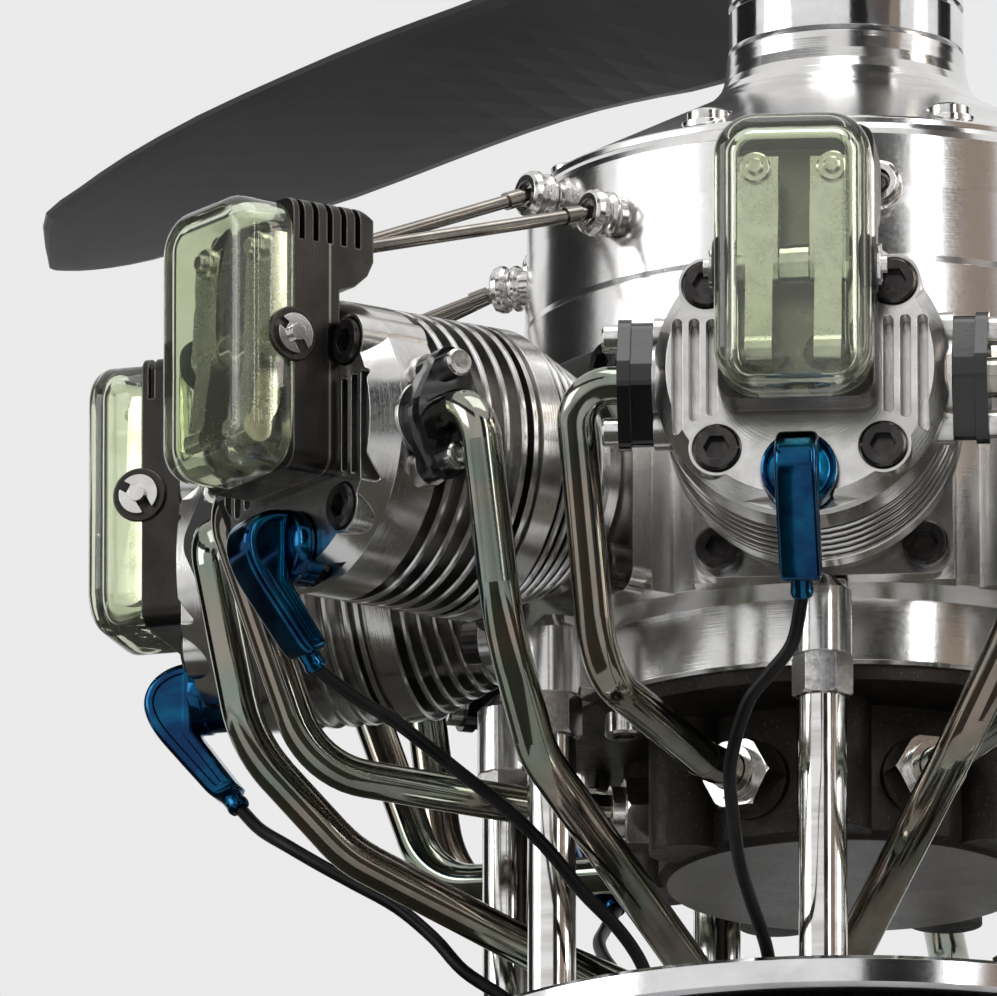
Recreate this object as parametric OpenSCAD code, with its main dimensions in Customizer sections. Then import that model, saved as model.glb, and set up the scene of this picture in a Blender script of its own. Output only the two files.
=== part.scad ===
// Seven-cylinder radial aircraft engine with a two-blade propeller, standing on a round mounting ring.
// Millimetres. +Z runs along the crankshaft towards the propeller, z = 0 is the ring's underside,
// and the first cylinder points to -Y. The others follow clockwise as seen from the propeller.

/* [Mounting ring and standoffs] */
// Outer radius of the mounting ring
ring_r = 96; // [94:0.5:98]
// Radius of the opening in the mounting ring
ring_bore_r = 69; // [67:0.5:70]
// Thickness of the mounting ring
ring_h = 7.2; // [6:0.2:8]
// Diameter of the circle of fixing holes in the ring
bolt_circle_d = 165; // [162:1:168]
// Radius of the fixing holes in the ring
bolt_hole_r = 3.3; // [2.7:0.1:3.6]
// Distance of the standoff rods from the engine axis
rod_circle_r = 79.75; // [79:0.25:80.5]
// Radius of the standoff rods
rod_r = 5.4; // [5:0.1:5.8]
// Height of the rods' upper shoulder
rod_top_z = 70; // [68:0.5:71]
// Width across the flats of the standoff nuts
nut_flats = 11.8; // [11.4:0.1:12.4]
// Height of the standoff nuts
nut_h = 9.2; // [8.4:0.2:10]

/* [Crankcase and nose] */
// Outer radius of the crankcase
case_r = 72.5; // [72:0.25:73]
// Height of the crankcase's lower edge
case_z0 = 81.2; // [80.6:0.2:82]
// Height of the joint between crankcase and cam case
case_z1 = 172.4; // [171.8:0.2:173]
// Height of the joint between cam case and nose cover
cam_z1 = 204.6; // [204:0.2:205.4]
// Height of the top of the nose cover
nose_z1 = 238.4; // [237.6:0.2:239]
// Width of the flat pads that carry the cylinders
pad_w = 57.8; // [56.6:0.2:58.4]

/* [Cylinders and heads] */
// Cylinder bore diameter
bore_d = 36; // [35:0.2:36.6]
// Piston stroke
stroke = 28; // [26:0.5:28.5]
// Height of the cylinder axes above the ring's underside
cyl_z = 127.3; // [126.7:0.1:127.9]
// Radius of the large cooling fins and of the head
fin_r = 32.8; // [32.2:0.1:33.2]
// Distance of the joint between cylinder and head from the engine axis
head_r0 = 106.5; // [106:0.1:106.8]
// Distance of the head's outer face from the engine axis
head_r1 = 148; // [147.6:0.1:148.4]
// Distance of each valve from the cylinder's middle plane
valve_t = 7.6; // [7.4:0.05:7.7]

/* [Rocker housings] */
// Half of the width of the rocker housings
box_half = 17.3; // [17:0.1:17.5]
// Height of the lower end of the rocker housings
box_z0 = 116.5; // [116:0.1:117]
// Height of the upper end of the rocker housings
box_z1 = 178.6; // [178.2:0.1:179]
// Height of the rocker housings above the heads' outer faces
box_h = 12.1; // [11.9:0.1:12.2]
// Depth of the covers outside the housings
cover_h = 13.8; // [13.5:0.1:14.3]
// Wall thickness of the housings and covers
box_wall = 3.3; // [3:0.1:3.4]
// Height of the rocker pins
pin_z = 146.3; // [146:0.1:146.6]
// Radius of the rocker pins
pin_r = 1.9; // [1.7:0.1:2]

/* [Pipes and ignition] */
// Radius of the exhaust pipes
ex_r = 4.5; // [4.2:0.1:4.7]
// Radius of the intake pipes
in_r = 4.25; // [4:0.05:4.4]
// Radius of the ignition leads
lead_r = 1.5; // [1.3:0.1:1.6]
// Radius of the pushrods
rod_push_r = 1.5; // [1.3:0.1:1.6]

/* [Propeller] */
// Propeller diameter
prop_d = 694; // [640:2:700]
// Height of the propeller's middle plane
prop_z = 272; // [271:0.5:273]
// Angle of the first blade from +Y, towards -X
prop_angle = 37.4; // [0:0.1:90]
// Radius of the propeller driver
driver_r = 26.35; // [26:0.05:26.8]

/* [Hidden] */
$fn = 48;
cyl_count = 7;
pitch = 360 / cyl_count;
run = 0.05; // radial clearance of a running fit
slip = 0.2; // radial clearance of a screw in its hole
eps = 0.5; // how far a cutter runs past the face it opens

steel = [0.75, 0.76, 0.78];
cast = [0.78, 0.78, 0.79];
black = [0.06, 0.06, 0.07];
bronze = [0.13, 0.11, 0.10];
resin = [0.72, 0.78, 0.55, 0.45];
blue = [0.03, 0.35, 0.60];
dark = [0.10, 0.10, 0.10];

stud_r = 4; // standoff studs above and below the rods
stud_in = 5; // depth of the stud in the ring
stud_up = 10; // depth of the stud in the crankcase boss
boss_z0 = rod_top_z + nut_h;
boss_r = 6.5;
skirt_r = case_r - 5.8;
plate_r = 64.8; // induction housing's plate, closing the crankcase
plate_h = 3.2;
body_r = 42.3;
body_z0 = 47.5;
gland_z = 62.1;
gland_r0 = 43.2;
gland_flats = 15;
diaphragm_z0 = 165;
rear_wall_z1 = 92;
plate_screw_r = 60;
head_sink = 3.4;
nose_screw_r = 62;
nose_pad_z = 208.6; // spot faces under the nose screws
chamber_r = 62;
liner_r = bore_d / 2 + 3;
liner_r0 = 60;
flange_t = 5;
flange_face = case_r + flange_t;
flange_hole = 22.9; // offset of the flange screws
head_screws = [[-18.3, -18.6], [18.3, -18.6], [-20.6, 18.6], [20.6, 18.6]];
head_boss_r = 6.2;
m6_head_r = 5.1;
m6_head_h = 4.6;
m6_r = 3;
well_z = 102.8; // height of the spark plugs
well_r = 7.6;
well_floor = head_r1 - 12;
box_r1 = head_r1 + box_h; // joint between housing and cover
cover_r1 = box_r1 + cover_h;
crown_r0 = head_r1 - 17.5; // lower edge of the head's solid crown
crown_edge = 11; // width of the crown's cylindrical edge
low_fin_r0 = head_r0 - 8.3; // lower edge of the cylinder's own thick fin
boot_r = 8.1;
cap_w = 9.36;
socket_r = 2.4; // sockets in the ring's opening that take the leads
chamber_r0 = 2.5; // depth of the combustion chamber's roof in the head
valve_y = -1.5; // valves below the cylinder axis
rocker_t = 8.5; // rockers from the cylinder's middle plane
rocker_w = 10;
port_r = head_r0 + 27.5;
port_t = 33; // port face from the cylinder's middle plane
block_t = 37.9;
plate_t = 40.8;
gas_r = 3.4; // gas passages in heads and flanges
flange_screw_z = 10.6;
top_z = box_z1 - 12.6; // underside of the rocker housing's raised top
top_r0 = head_r1 - 9;
box_floor = head_r1 + 2.5;
pin_axis = box_r1 + 0.4;
spring_hole = 6;
retainer_r0 = head_r1 + 10.6;
valve_tip = retainer_r0 + 4.4;
stem_r = 1.5;
pad_r = 2.92; // rounded pad of the rocker on the valve's tip
rod_end = [head_r1 + 6.5, pin_z + 20.2]; // distance from the axis and height
guide_ex_z = 188.4;
guide_in_z = 198.3;
guide_t = 12.35;
guide_r = 3.9;
cam_in_r = 67;
hub_r = 14; // tube of the nose cover that carries the cam ring
shaft_r = 9.5;
bearing_r = 15;
front_bearing_z = [228, 237.9];
cam_base_r = 60;
cam_lift = 3.2;
lay_offset = 36;
lay_pin_r = 4;
crank_throw = stroke / 2;
rod_length = 76;
pin_to_crown = 104 - crank_throw - rod_length;
driver_z1 = 258;
boss_half = 14;
prop_boss_r = 25;

module around() {
  for (k = [0 : cyl_count - 1]) rotate([0, 0, -pitch * k]) children();
}

// Local x across the cylinder, y up and z outward, at cylinder k and height h
module at_cyl(k, h) {
  rotate([0, 0, -pitch * k]) translate([0, 0, h]) rotate([90, 0, 0]) children();
}

module radial(h) {
  for (k = [0 : cyl_count - 1]) at_cyl(k, h) children();
}

module between(h) {
  for (k = [0 : cyl_count - 1]) at_cyl(k + 0.5, h) children();
}

module four(d) {
  for (x = [-d, d], y = [-d, d]) translate([x, y, 0]) children();
}

module tube(r, ri, h) {
  difference() {
    cylinder(r = r, h = h);
    translate([0, 0, -eps]) cylinder(r = ri, h = h + 2 * eps);
  }
}

module round_rect(w, h, r) {
  square([w - 2 * r, h], center = true);
  square([w, h - 2 * r], center = true);
  for (x = [-1, 1], y = [-1, 1]) translate([x * (w / 2 - r), y * (h / 2 - r)]) circle(r);
}

module hexagon(flats) {
  circle(r = flats / 2 / cos(30), $fn = 6);
}

// Hexagon nut with chamfered corners
module hex_nut(flats, h, ri) {
  c = flats / 2 / cos(30);
  difference() {
    intersection() {
      linear_extrude(h) hexagon(flats);
      rotate_extrude() polygon([[0, 0], [c - 0.6, 0], [c + 0.1, 0.7], [c + 0.1, h - 0.7], [c - 0.6, h],
        [0, h]]);
    }
    translate([0, 0, -eps]) cylinder(r = ri, h = h + 2 * eps);
  }
}

// Socket-head screw, its head standing on z = 0 and its shank below
module socket_screw(head_r, head_h, shank_r, shank_l) {
  difference() {
    union() {
      rotate_extrude() polygon([[0, 0], [head_r, 0], [head_r, head_h - 0.5], [head_r - 0.5, head_h],
        [0, head_h]]);
      translate([0, 0, -shank_l]) cylinder(r = shank_r, h = shank_l + 0.1);
    }
    translate([0, 0, head_h * 0.4]) linear_extrude(head_h) hexagon(head_r);
  }
}

function unit(v) = v / norm(v);

module along(a, b) {
  d = unit(b - a);
  translate(a) rotate([0, acos(d.z), atan2(d.y, d.x)]) children();
}

// Bar bent at the corners p, b holding the bend radii. Bends are a hair thicker than the straights.
function turn(p, i) = acos(unit(p[i] - p[i - 1]) * unit(p[i + 1] - p[i]));
function trim(p, b, i) = (i == 0 || i == len(p) - 1) ? 0 : b[i] * tan(turn(p, i) / 2);
module bent_bar(p, b, r) {
  lap = 0.4;
  for (i = [0 : len(p) - 2]) {
    d = unit(p[i + 1] - p[i]);
    t0 = trim(p, b, i) - (i == 0 ? 0 : lap);
    t1 = trim(p, b, i + 1) - (i == len(p) - 2 ? 0 : lap);
    along(p[i] + d * t0, p[i + 1]) cylinder(r = r, h = norm(p[i + 1] - p[i]) - t0 - t1);
  }
  for (i = [1 : len(p) - 2]) {
    d = unit(p[i] - p[i - 1]);
    n = unit(cross(d, unit(p[i + 1] - p[i])));
    x = cross(d, n);
    c = p[i] - d * trim(p, b, i) - x * b[i];
    multmatrix([[x.x, d.x, n.x, c.x], [x.y, d.y, n.y, c.y], [x.z, d.z, n.z, c.z], [0, 0, 0, 1]])
      rotate_extrude(angle = turn(p, i)) translate([b[i], 0]) circle(r + 0.05);
  }
}

// Gear outline with involute flanks. play is the angle by which each flank is set back.
function inv(a) = tan(a) * 180 / PI - a;
function flank(n, m, r, play) = 90 / n + inv(20) - inv(acos(min(1, n * m / 2 * cos(20) / r))) - play;
function gear_points(n, m, add, ded, play) = let (
  rp = n * m / 2,
  rr = rp - ded,
  ra = rp + add,
  rb = max(rr, rp * cos(20) + 0.001),
  rs = [rr, rb + (ra - rb) * 0.3, rb + (ra - rb) * 0.65, ra]
) [for (i = [0 : n - 1], s = [-1, 1], j = [0 : 3]) let (
  r = s < 0 ? rs[j] : rs[3 - j],
  a = 360 * i / n + s * flank(n, m, max(r, rb), play)
) [r * cos(a), r * sin(a)]];

// Ring lying on the base plane, with chamfered edges
module mount_ring() {
  c = 1;
  color(steel) difference() {
    rotate_extrude() polygon([[ring_bore_r + c, 0], [ring_r - c, 0], [ring_r, c], [ring_r, ring_h - c],
      [ring_r - c, ring_h], [ring_bore_r + c, ring_h], [ring_bore_r, ring_h - c], [ring_bore_r, c]]);
    around() translate([0, -rod_circle_r, ring_h - stud_in]) cylinder(r = stud_r + run, h = stud_in + eps);
    around() rotate([0, 0, pitch / 2]) translate([0, -bolt_circle_d / 2, -eps])
      cylinder(r = bolt_hole_r, h = ring_h + 2 * eps);
  }
}

module standoff_rods() {
  color(steel) around() translate([0, -rod_circle_r, 0]) rotate_extrude() polygon([
    [0, ring_h - stud_in + 0.3], [stud_r, ring_h - stud_in + 0.3], [stud_r, ring_h], [rod_r - 0.5, ring_h],
    [rod_r, ring_h + 0.5], [rod_r, rod_top_z - 0.5], [rod_r - 0.5, rod_top_z], [stud_r, rod_top_z],
    [stud_r, boss_z0 + stud_up - 0.3], [0, boss_z0 + stud_up - 0.3]]);
}

module standoff_nuts() {
  color(steel) around() translate([0, -rod_circle_r, rod_top_z]) hex_nut(nut_flats, nut_h, stud_r + run);
}

// Crankcase with a flat pad, a liner bore and a standoff boss for each cylinder
module crankcase() {
  ph = pad_w / 2;
  color(cast) difference() {
    union() {
      rotate_extrude() polygon([[0, case_z0], [skirt_r - 0.8, case_z0], [skirt_r, case_z0 + 0.8],
        [skirt_r, 96], [case_r, 98.6], [case_r, case_z1], [0, case_z1]]);
      radial(cyl_z) translate([-ph, -ph, chamber_r + 1]) cube([pad_w, pad_w, case_r - chamber_r - 1]);
      around() translate([0, -rod_circle_r, boss_z0]) cylinder(r = boss_r, h = 94 - boss_z0);
      around() translate([0, -rod_circle_r, 94]) cylinder(r1 = boss_r, r2 = 2.5, h = 3.6);
      around() translate([-boss_r + 1.5, -rod_circle_r, boss_z0 + 2])
        cube([2 * boss_r - 3, rod_circle_r - chamber_r - 1, 95 - boss_z0]);
    }
    translate([0, 0, case_z0 - eps]) cylinder(r = plate_r - 14, h = 4);
    around() translate([0, -plate_screw_r, case_z0 - eps]) cylinder(r = 2.5 + slip, h = 5.5);
    translate([0, 0, rear_wall_z1]) cylinder(r = chamber_r, h = diaphragm_z0 - rear_wall_z1);
    translate([0, 0, diaphragm_z0 + 5]) cylinder(r = cam_in_r, h = 10);
    translate([0, 0, case_z0 - 1]) cylinder(r = bearing_r + run, h = 100);
    radial(cyl_z) translate([0, 0, liner_r0 - 5]) cylinder(r = liner_r + run, h = 30);
    radial(cyl_z) four(flange_hole) translate([0, 0, case_r - 8]) cylinder(r = 2.7, h = 10);
    around() translate([0, -rod_circle_r, boss_z0 - eps]) cylinder(r = stud_r + run, h = stud_up + eps);
  }
  color(cast) {
    translate([0, 0, 150]) tube(bearing_r + 5, bearing_r + run, diaphragm_z0 + 1 - 150);
    translate([0, 0, 88]) tube(bearing_r + 5, bearing_r + run, rear_wall_z1 + 8 - 88);
    translate([lay_offset, 0, diaphragm_z0 + 4]) cylinder(r = lay_pin_r, h = 190 - diaphragm_z0);
    translate([lay_offset, 0, diaphragm_z0 + 4]) cylinder(r = lay_pin_r + 2.5, h = 6.5);
  }
}

// Case with an inner flange that takes the nose screws
module cam_case() {
  flange_r = 57;
  color(cast) difference() {
    rotate_extrude() polygon([[cam_in_r, case_z1], [case_r, case_z1], [case_r - 0.3, case_z1 + 1.6],
      [case_r - 0.9, case_z1 + 17.6], [case_r - 0.9, cam_z1 - 2.9], [case_r - 1.4, cam_z1 - 1.4],
      [case_r - 2.1, cam_z1 - 0.3], [case_r - 2.4, cam_z1], [flange_r, cam_z1], [flange_r, cam_z1 - 2.2],
      [cam_in_r, cam_z1 - 2.2]]);
    radial(guide_ex_z) translate([guide_t, 0, 55]) cylinder(r = guide_r + run, h = 30);
    radial(guide_in_z) translate([-guide_t, 0, 55]) cylinder(r = guide_r + run, h = 30);
    at_nose_screws(cam_z1 - 4) cylinder(r = 2 + slip, h = 5);
  }
}

module at_nose_screws(h) {
  around() rotate([0, 0, pitch / 2]) translate([0, -nose_screw_r, h]) children();
}

// Conical cover whose inner tube carries the cam ring and whose neck holds the front bearing
nose_out = [[case_r - 2.4, cam_z1], [case_r - 2.4, cam_z1 + 1.2], [case_r - 3.1, cam_z1 + 1.8],
  [34.4, 224.4], [32, 226], [30, 227.8], [28.4, 229.8], [27.5, 232], [27, 234.4], [26.8, 237],
  [26.8, nose_z1]];
module nose_cover() {
  color(cast) difference() {
    union() {
      rotate_extrude() polygon(concat([[hub_r, cam_z1]], nose_out, [[hub_r, nose_z1]]));
      translate([0, 0, 195.4]) cylinder(r = hub_r, h = nose_z1 - 195.4);
      at_nose_screws(cam_z1 + 1) cylinder(r = 6, h = nose_pad_z - cam_z1 - 1);
    }
    rotate_extrude() polygon([[hub_r, 203], [55, 203], [55, 206], [50, 212], [40, 217.4], [31, 221.5],
      [hub_r + 2, 222], [hub_r, 221]]);
    translate([0, 0, 190]) cylinder(r = shaft_r + 1.5, h = 60);
    translate([0, 0, front_bearing_z[0]]) cylinder(r = bearing_r + run, h = 12);
    at_nose_screws(cam_z1 - 2) cylinder(r = 2 + slip, h = 12);
    at_nose_screws(nose_pad_z) cylinder(r = 5.4, h = 12);
  }
}

module silver_screws() {
  color(steel) {
    at_nose_screws(nose_pad_z) socket_screw(4.8, 2.8, 2, 6);
    for (s = [-1, 1], z = [-flange_screw_z, flange_screw_z])
      radial(cyl_z) translate([s * plate_t, z, port_r]) rotate([0, s * 90, 0])
        socket_screw(3.15, 3.7, 1.7, 12);
    around() translate([0, -plate_screw_r, case_z0 - plate_h]) rotate([180, 0, 0])
      socket_screw(4.6, 5, 2.5, plate_h + 4);
  }
}

module black_screws() {
  color(black) radial(cyl_z) {
    four(flange_hole) translate([0, 0, flange_face]) socket_screw(m6_head_r, m6_head_h, 2.5, flange_t + 7);
    for (h = head_screws) translate([h.x, h.y, head_r1 - head_sink])
      socket_screw(m6_head_r, m6_head_h, m6_r, 12);
  }
}

module main_bearings() {
  color(steel) {
    translate([0, 0, 88]) tube(bearing_r, 9 + run, 12);
    translate([0, 0, 150.5]) tube(bearing_r, 11 + run, 12);
    translate([0, 0, front_bearing_z[0]]) tube(bearing_r, shaft_r + run,
      front_bearing_z[1] - front_bearing_z[0]);
  }
}

// Outline of one round fin between z0 and z0 + t, for a turned profile
function fin(r, ri, z, t) = [[ri, z], [r - 0.4, z], [r, z + 0.4], [r, z + t - 0.4], [r - 0.4, z + t],
  [ri, z + t]];

module cylinders() {
  core = 23;
  low = [for (i = [0 : 4]) flange_face + 4.9 + 3.2 * i];
  color(cast) difference() {
    union() {
      radial(cyl_z) rotate_extrude() polygon(concat([[bore_d / 2, liner_r0], [liner_r - 0.6, liner_r0],
        [liner_r, liner_r0 + 0.6], [liner_r, flange_face - 1], [core + 1.5, flange_face - 1],
        [core, flange_face + 2]],
        [for (z = low) each fin(core + 2 + (z - flange_face - 2.5) * 0.42, core, z, 1.5)],
        [[core, low_fin_r0], [fin_r - 0.5, low_fin_r0], [fin_r, low_fin_r0 + 0.5], [fin_r, head_r0 - 2.6],
        [fin_r - 1.2, head_r0 - 2.2], [fin_r - 1.2, head_r0 - 1.5], [fin_r, head_r0 - 1.1],
        [fin_r, head_r0], [bore_d / 2, head_r0]]));
      radial(cyl_z) translate([0, 0, case_r]) linear_extrude(flange_t) difference() {
        round_rect(pad_w, pad_w, 5);
        circle(liner_r - 0.5);
        for (x = [-flange_hole, flange_hole], y = [-flange_hole, flange_hole]) translate([x, y])
          circle(2.5 + slip);
      }
    }
  }
}

module heads() {
  core = 25.5;
  fins = [for (i = [0 : 4]) head_r0 + 1.4 + 4.6 * i];
  color(cast) radial(cyl_z) difference() {
    union() {
      rotate_extrude() polygon(concat([[0, head_r0], [core, head_r0]],
        [for (z = fins) each fin(fin_r, core, z, 1.7)],
        [[core, crown_r0], [fin_r - 0.5, crown_r0], [fin_r, crown_r0 + 0.5], [fin_r, crown_r0 + crown_edge],
        [fin_r - 3.3, head_r1], [0, head_r1]]));
      for (s = [-1, 1]) translate([s * 20, 0, port_r]) rotate([0, s * 90, 0])
        cylinder(r = 9, h = port_t - 20);
      for (s = [-1, 1], y = [-1, 1]) translate([s * 20, y * flange_screw_z, port_r])
        rotate([0, s * 90, 0]) cylinder(r = 4.4, h = port_t - 20);
      for (h = head_screws) translate([h.x, h.y, crown_r0 + 0.5])
        cylinder(r = head_boss_r, h = head_r1 - crown_r0 - 0.5);
    }
    translate([0, 0, head_r0 - eps]) cylinder(r = bore_d / 2, h = chamber_r0 + eps);
    for (s = [-1, 1]) {
      translate([s * valve_t, valve_y, head_r0]) cylinder(r = 6.2, h = 25);
      translate([s * valve_t, valve_y, head_r0 + 13.5]) cylinder(r = stem_r + run, h = head_r1 - head_r0);
      translate([s * valve_t, 0, port_r]) rotate([0, s * 90, 0]) cylinder(r = gas_r, h = 40);
      for (y = [-1, 1]) translate([s * 20, y * flange_screw_z, port_r])
        rotate([0, s * 90, 0]) cylinder(r = 1.7 + slip, h = 20);
      for (x = [[19.4, -11.2, 10.8], [23.2, -12.4, 11], [27, -14.6, 11]])
        translate([s * x[0], 0, head_r1 - 7]) linear_extrude(10) slot(2.4, x[1], x[2]);
    }
    translate([0, well_z - cyl_z, well_floor]) cylinder(r = well_r, h = 20);
    translate([0, well_z - cyl_z, head_r1 - 5]) cylinder(r = boot_r + 0.5, h = 20);
    translate([0, well_z - cyl_z, well_floor - 12]) cylinder(r = 5 + slip, h = 20);
    translate([-15.5, -40, head_r1 - 5]) cube([31, 40 - 29.4, 10]);
    for (h = head_screws) {
      translate([h.x, h.y, head_r1 - head_sink]) cylinder(r = m6_head_r + 0.4, h = 10);
      translate([h.x, h.y, head_r1 - head_sink - 13]) cylinder(r = m6_r + slip, h = 20);
    }
  }
}

// Round-ended slot of width w from y0 to y1
module slot(w, y0, y1) {
  translate([-w / 2, y0 + w / 2]) square([w, y1 - y0 - w]);
  translate([0, y0 + w / 2]) circle(w / 2);
  translate([0, y1 - w / 2]) circle(w / 2);
}

// Open-topped housing over the valves, with a ribbed block where the pushrods enter
module rocker_boxes() {
  mid = (box_z0 + box_z1) / 2;
  w = 2 * box_half;
  h = box_z1 - box_z0;
  rib_cut = 2.2;
  color(bronze) radial(0) difference() {
    intersection() {
      translate([0, mid, top_r0]) linear_extrude(box_r1 - top_r0) round_rect(w, h, 4);
      translate([-w, 0, 0]) rotate([0, 90, 0]) linear_extrude(2 * w)
        polygon([[-box_r1, box_z0 - 1], [-box_r1, box_z1 + 1], [-top_r0 - 4, box_z1 + 1],
          [-top_r0, box_z1 - 3], [-top_r0, top_z], [-top_r0 - 1.6, top_z - 3.4],
          [-top_r0 - 5, top_z - 6.4], [-head_r1, top_z - 7.7], [-head_r1, box_z0 - 1]]);
    }
    translate([0, mid, box_floor]) linear_extrude(20) round_rect(w - 2 * box_wall, h - 2 * box_wall, 3);
    for (s = [-1, 1]) translate([s * valve_t, cyl_z + valve_y, head_r1 - 1])
      cylinder(r = spring_hole, h = 10);
    for (p = head_screws) if (p.y > 0)
      translate([p.x, cyl_z + p.y, head_r1 - 1]) cylinder(r = m6_head_r + 0.4, h = 4);
    translate([-30, pin_z, pin_axis]) rotate([0, 90, 0]) cylinder(r = pin_r + run, h = 60);
    along(guide_out(1, guide_ex_z), guide_in(1)) cylinder(r = rod_push_r + 0.6, h = 78);
    along(guide_out(-1, guide_in_z), guide_in(-1)) cylinder(r = rod_push_r + 0.6, h = 82);
    for (i = [0 : 4]) translate([0, 0, top_r0 + 3.4 + 3.7 * i]) linear_extrude(1.4) difference() {
      translate([-30, box_z1 - 10]) square([60, 20]);
      translate([rib_cut - box_half, box_z1 - 30]) square([w - 2 * rib_cut, 30 - rib_cut]);
    }
  }
}

// Translucent covers, rounded on the outside, open towards the housings
module rocker_covers() {
  mid = (box_z0 + box_z1) / 2;
  w = 2 * box_half;
  h = box_z1 - box_z0;
  d = cover_r1 - box_r1;
  color(resin) radial(0) difference() {
    intersection() {
      translate([0, mid, box_r1]) linear_extrude(d) round_rect(w, h, 8);
      translate([0, mid - h, cover_r1 - 20]) rotate([-90, 0, 0]) linear_extrude(2 * h)
        round_rect(w, 40, 4.5);
      translate([-w, mid, cover_r1 - 20]) rotate([0, 90, 0]) linear_extrude(2 * w) round_rect(40, h, 4.5);
    }
    translate([0, mid, box_r1 - 1]) linear_extrude(d + 1 - box_wall)
      round_rect(w - 2 * box_wall, h - 2 * box_wall, 4.7);
    translate([-30, pin_z, pin_axis]) rotate([0, 90, 0]) cylinder(r = pin_r + run, h = 60);
  }
}

// Rocker pins with a spacer between the rockers and a clip at each end
module rocker_pins() {
  l = box_half + 2.9;
  color(steel) radial(pin_z) translate([0, 0, pin_axis]) rotate([0, 90, 0]) {
    translate([0, 0, -l]) cylinder(r = pin_r, h = 2 * l);
    translate([0, 0, -3.2]) cylinder(r = 4.3, h = 6.4);
    for (s = [-1, 1]) translate([0, 0, s * (box_half + 1.2) - 0.4]) linear_extrude(0.8) difference() {
      circle(4.5);
      circle(pin_r - 0.2);
      rotate(60) translate([-1.1, 2.6]) square([2.2, 4]);
      rotate(-60) translate([0, -1.3]) square([6, 2.6]);
    }
  }
}

function lozenge(r1, r2, d) = let (f = asin((r1 - r2) / d)) concat(
  [for (a = [-f : f / 3 : f]) [r1 * cos(a), r1 * sin(a)]],
  [for (a = [f : (180 - 2 * f) / 10 : 180 - f]) [r2 * cos(a), d + r2 * sin(a)]],
  [for (a = [180 - f : f / 3 : 180 + f]) [r1 * cos(a), r1 * sin(a)]],
  [for (a = [180 + f : (180 - 2 * f) / 10 : 360 - f]) [r2 * cos(a), -d + r2 * sin(a)]]);

module port_flanges() {
  color(black) radial(cyl_z) for (s = [-1, 1]) translate([s * port_t, 0, port_r]) rotate([0, s * 90, 0])
    difference() {
    union() {
      linear_extrude(block_t - port_t) polygon(lozenge(7.6, 3.5, flange_screw_z));
      translate([0, 0, block_t - port_t]) linear_extrude(plate_t - block_t)
        polygon(lozenge(8.6, 4.3, flange_screw_z));
    }
    translate([0, 0, -eps]) cylinder(r = gas_r, h = 20);
    for (y = [-1, 1]) translate([0, y * flange_screw_z, -eps]) cylinder(r = 1.7 + slip, h = 20);
  }
}

// Point at height z and distance r from the axis, midway between two cylinders
function on_mid(r, z) = [-r * sin(pitch / 2), z, r * cos(pitch / 2)];
ex_path = [[plate_t, cyl_z, port_r], [51, cyl_z, port_r], [48, 78, 125], [33.5, 54.8, 106],
  [3.3, 20, 43.5]];
ex_bend = [0, 8, 30, 30, 0];
in_path = [[-plate_t, cyl_z, port_r], [-51, cyl_z, port_r], [-47, 68, 112], on_mid(64.4, gland_z),
  on_mid(gland_r0 - 5, gland_z)];
in_bend = [0, 8, 20, 15, 0];

module exhaust_pipes() {
  color(steel) radial(0) difference() {
    bent_bar(ex_path, ex_bend, ex_r);
    along(ex_path[4], ex_path[3]) translate([0, 0, -eps]) cylinder(r = ex_r - 1, h = 20);
    translate([plate_t - eps, cyl_z, port_r]) rotate([0, 90, 0]) cylinder(r = gas_r, h = 2);
  }
}

module intake_pipes() {
  color(steel) radial(0) bent_bar(in_path, in_bend, in_r);
}

module gland_nuts() {
  color(dark) between(gland_z) {
    translate([0, 0, gland_r0]) hex_nut(gland_flats, 7.6, in_r + slip);
    translate([0, 0, gland_r0 + 7.6]) tube(6.2, in_r + slip, 3);
  }
}

// Cast housing under the crankcase, with a socket for each intake pipe
module induction_housing() {
  z1 = case_z0 - plate_h;
  color(bronze) difference() {
    union() {
      translate([0, 0, z1]) cylinder(r = plate_r, h = plate_h);
      rotate_extrude() polygon([[0, body_z0], [body_r - 2, body_z0], [body_r, body_z0 + 2], [body_r, z1],
        [0, z1]]);
      around() translate([0, -43.7, body_z0 + 1]) cylinder(r = 8.3, h = z1 - body_z0 - 1);
      between(gland_z) translate([0, 0, 30]) cylinder(r = 8.8, h = gland_r0 - 30);
    }
    between(gland_z) translate([0, 0, gland_r0 - 6]) cylinder(r = in_r + slip, h = 10);
    around() translate([0, -plate_screw_r, z1 - eps]) cylinder(r = 2.5 + slip, h = plate_h + 2 * eps);
    translate([0, 0, case_z0 - 8]) cylinder(r = 12, h = 10);
  }
}

module spark_plugs() {
  color(steel) radial(well_z) {
    translate([0, 0, well_floor - 10]) cylinder(r = 5, h = 11);
    translate([0, 0, well_floor]) linear_extrude(5) hexagon(12.6);
    translate([0, 0, well_floor + 4]) cylinder(r = 3.4, h = 8);
  }
}

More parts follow.
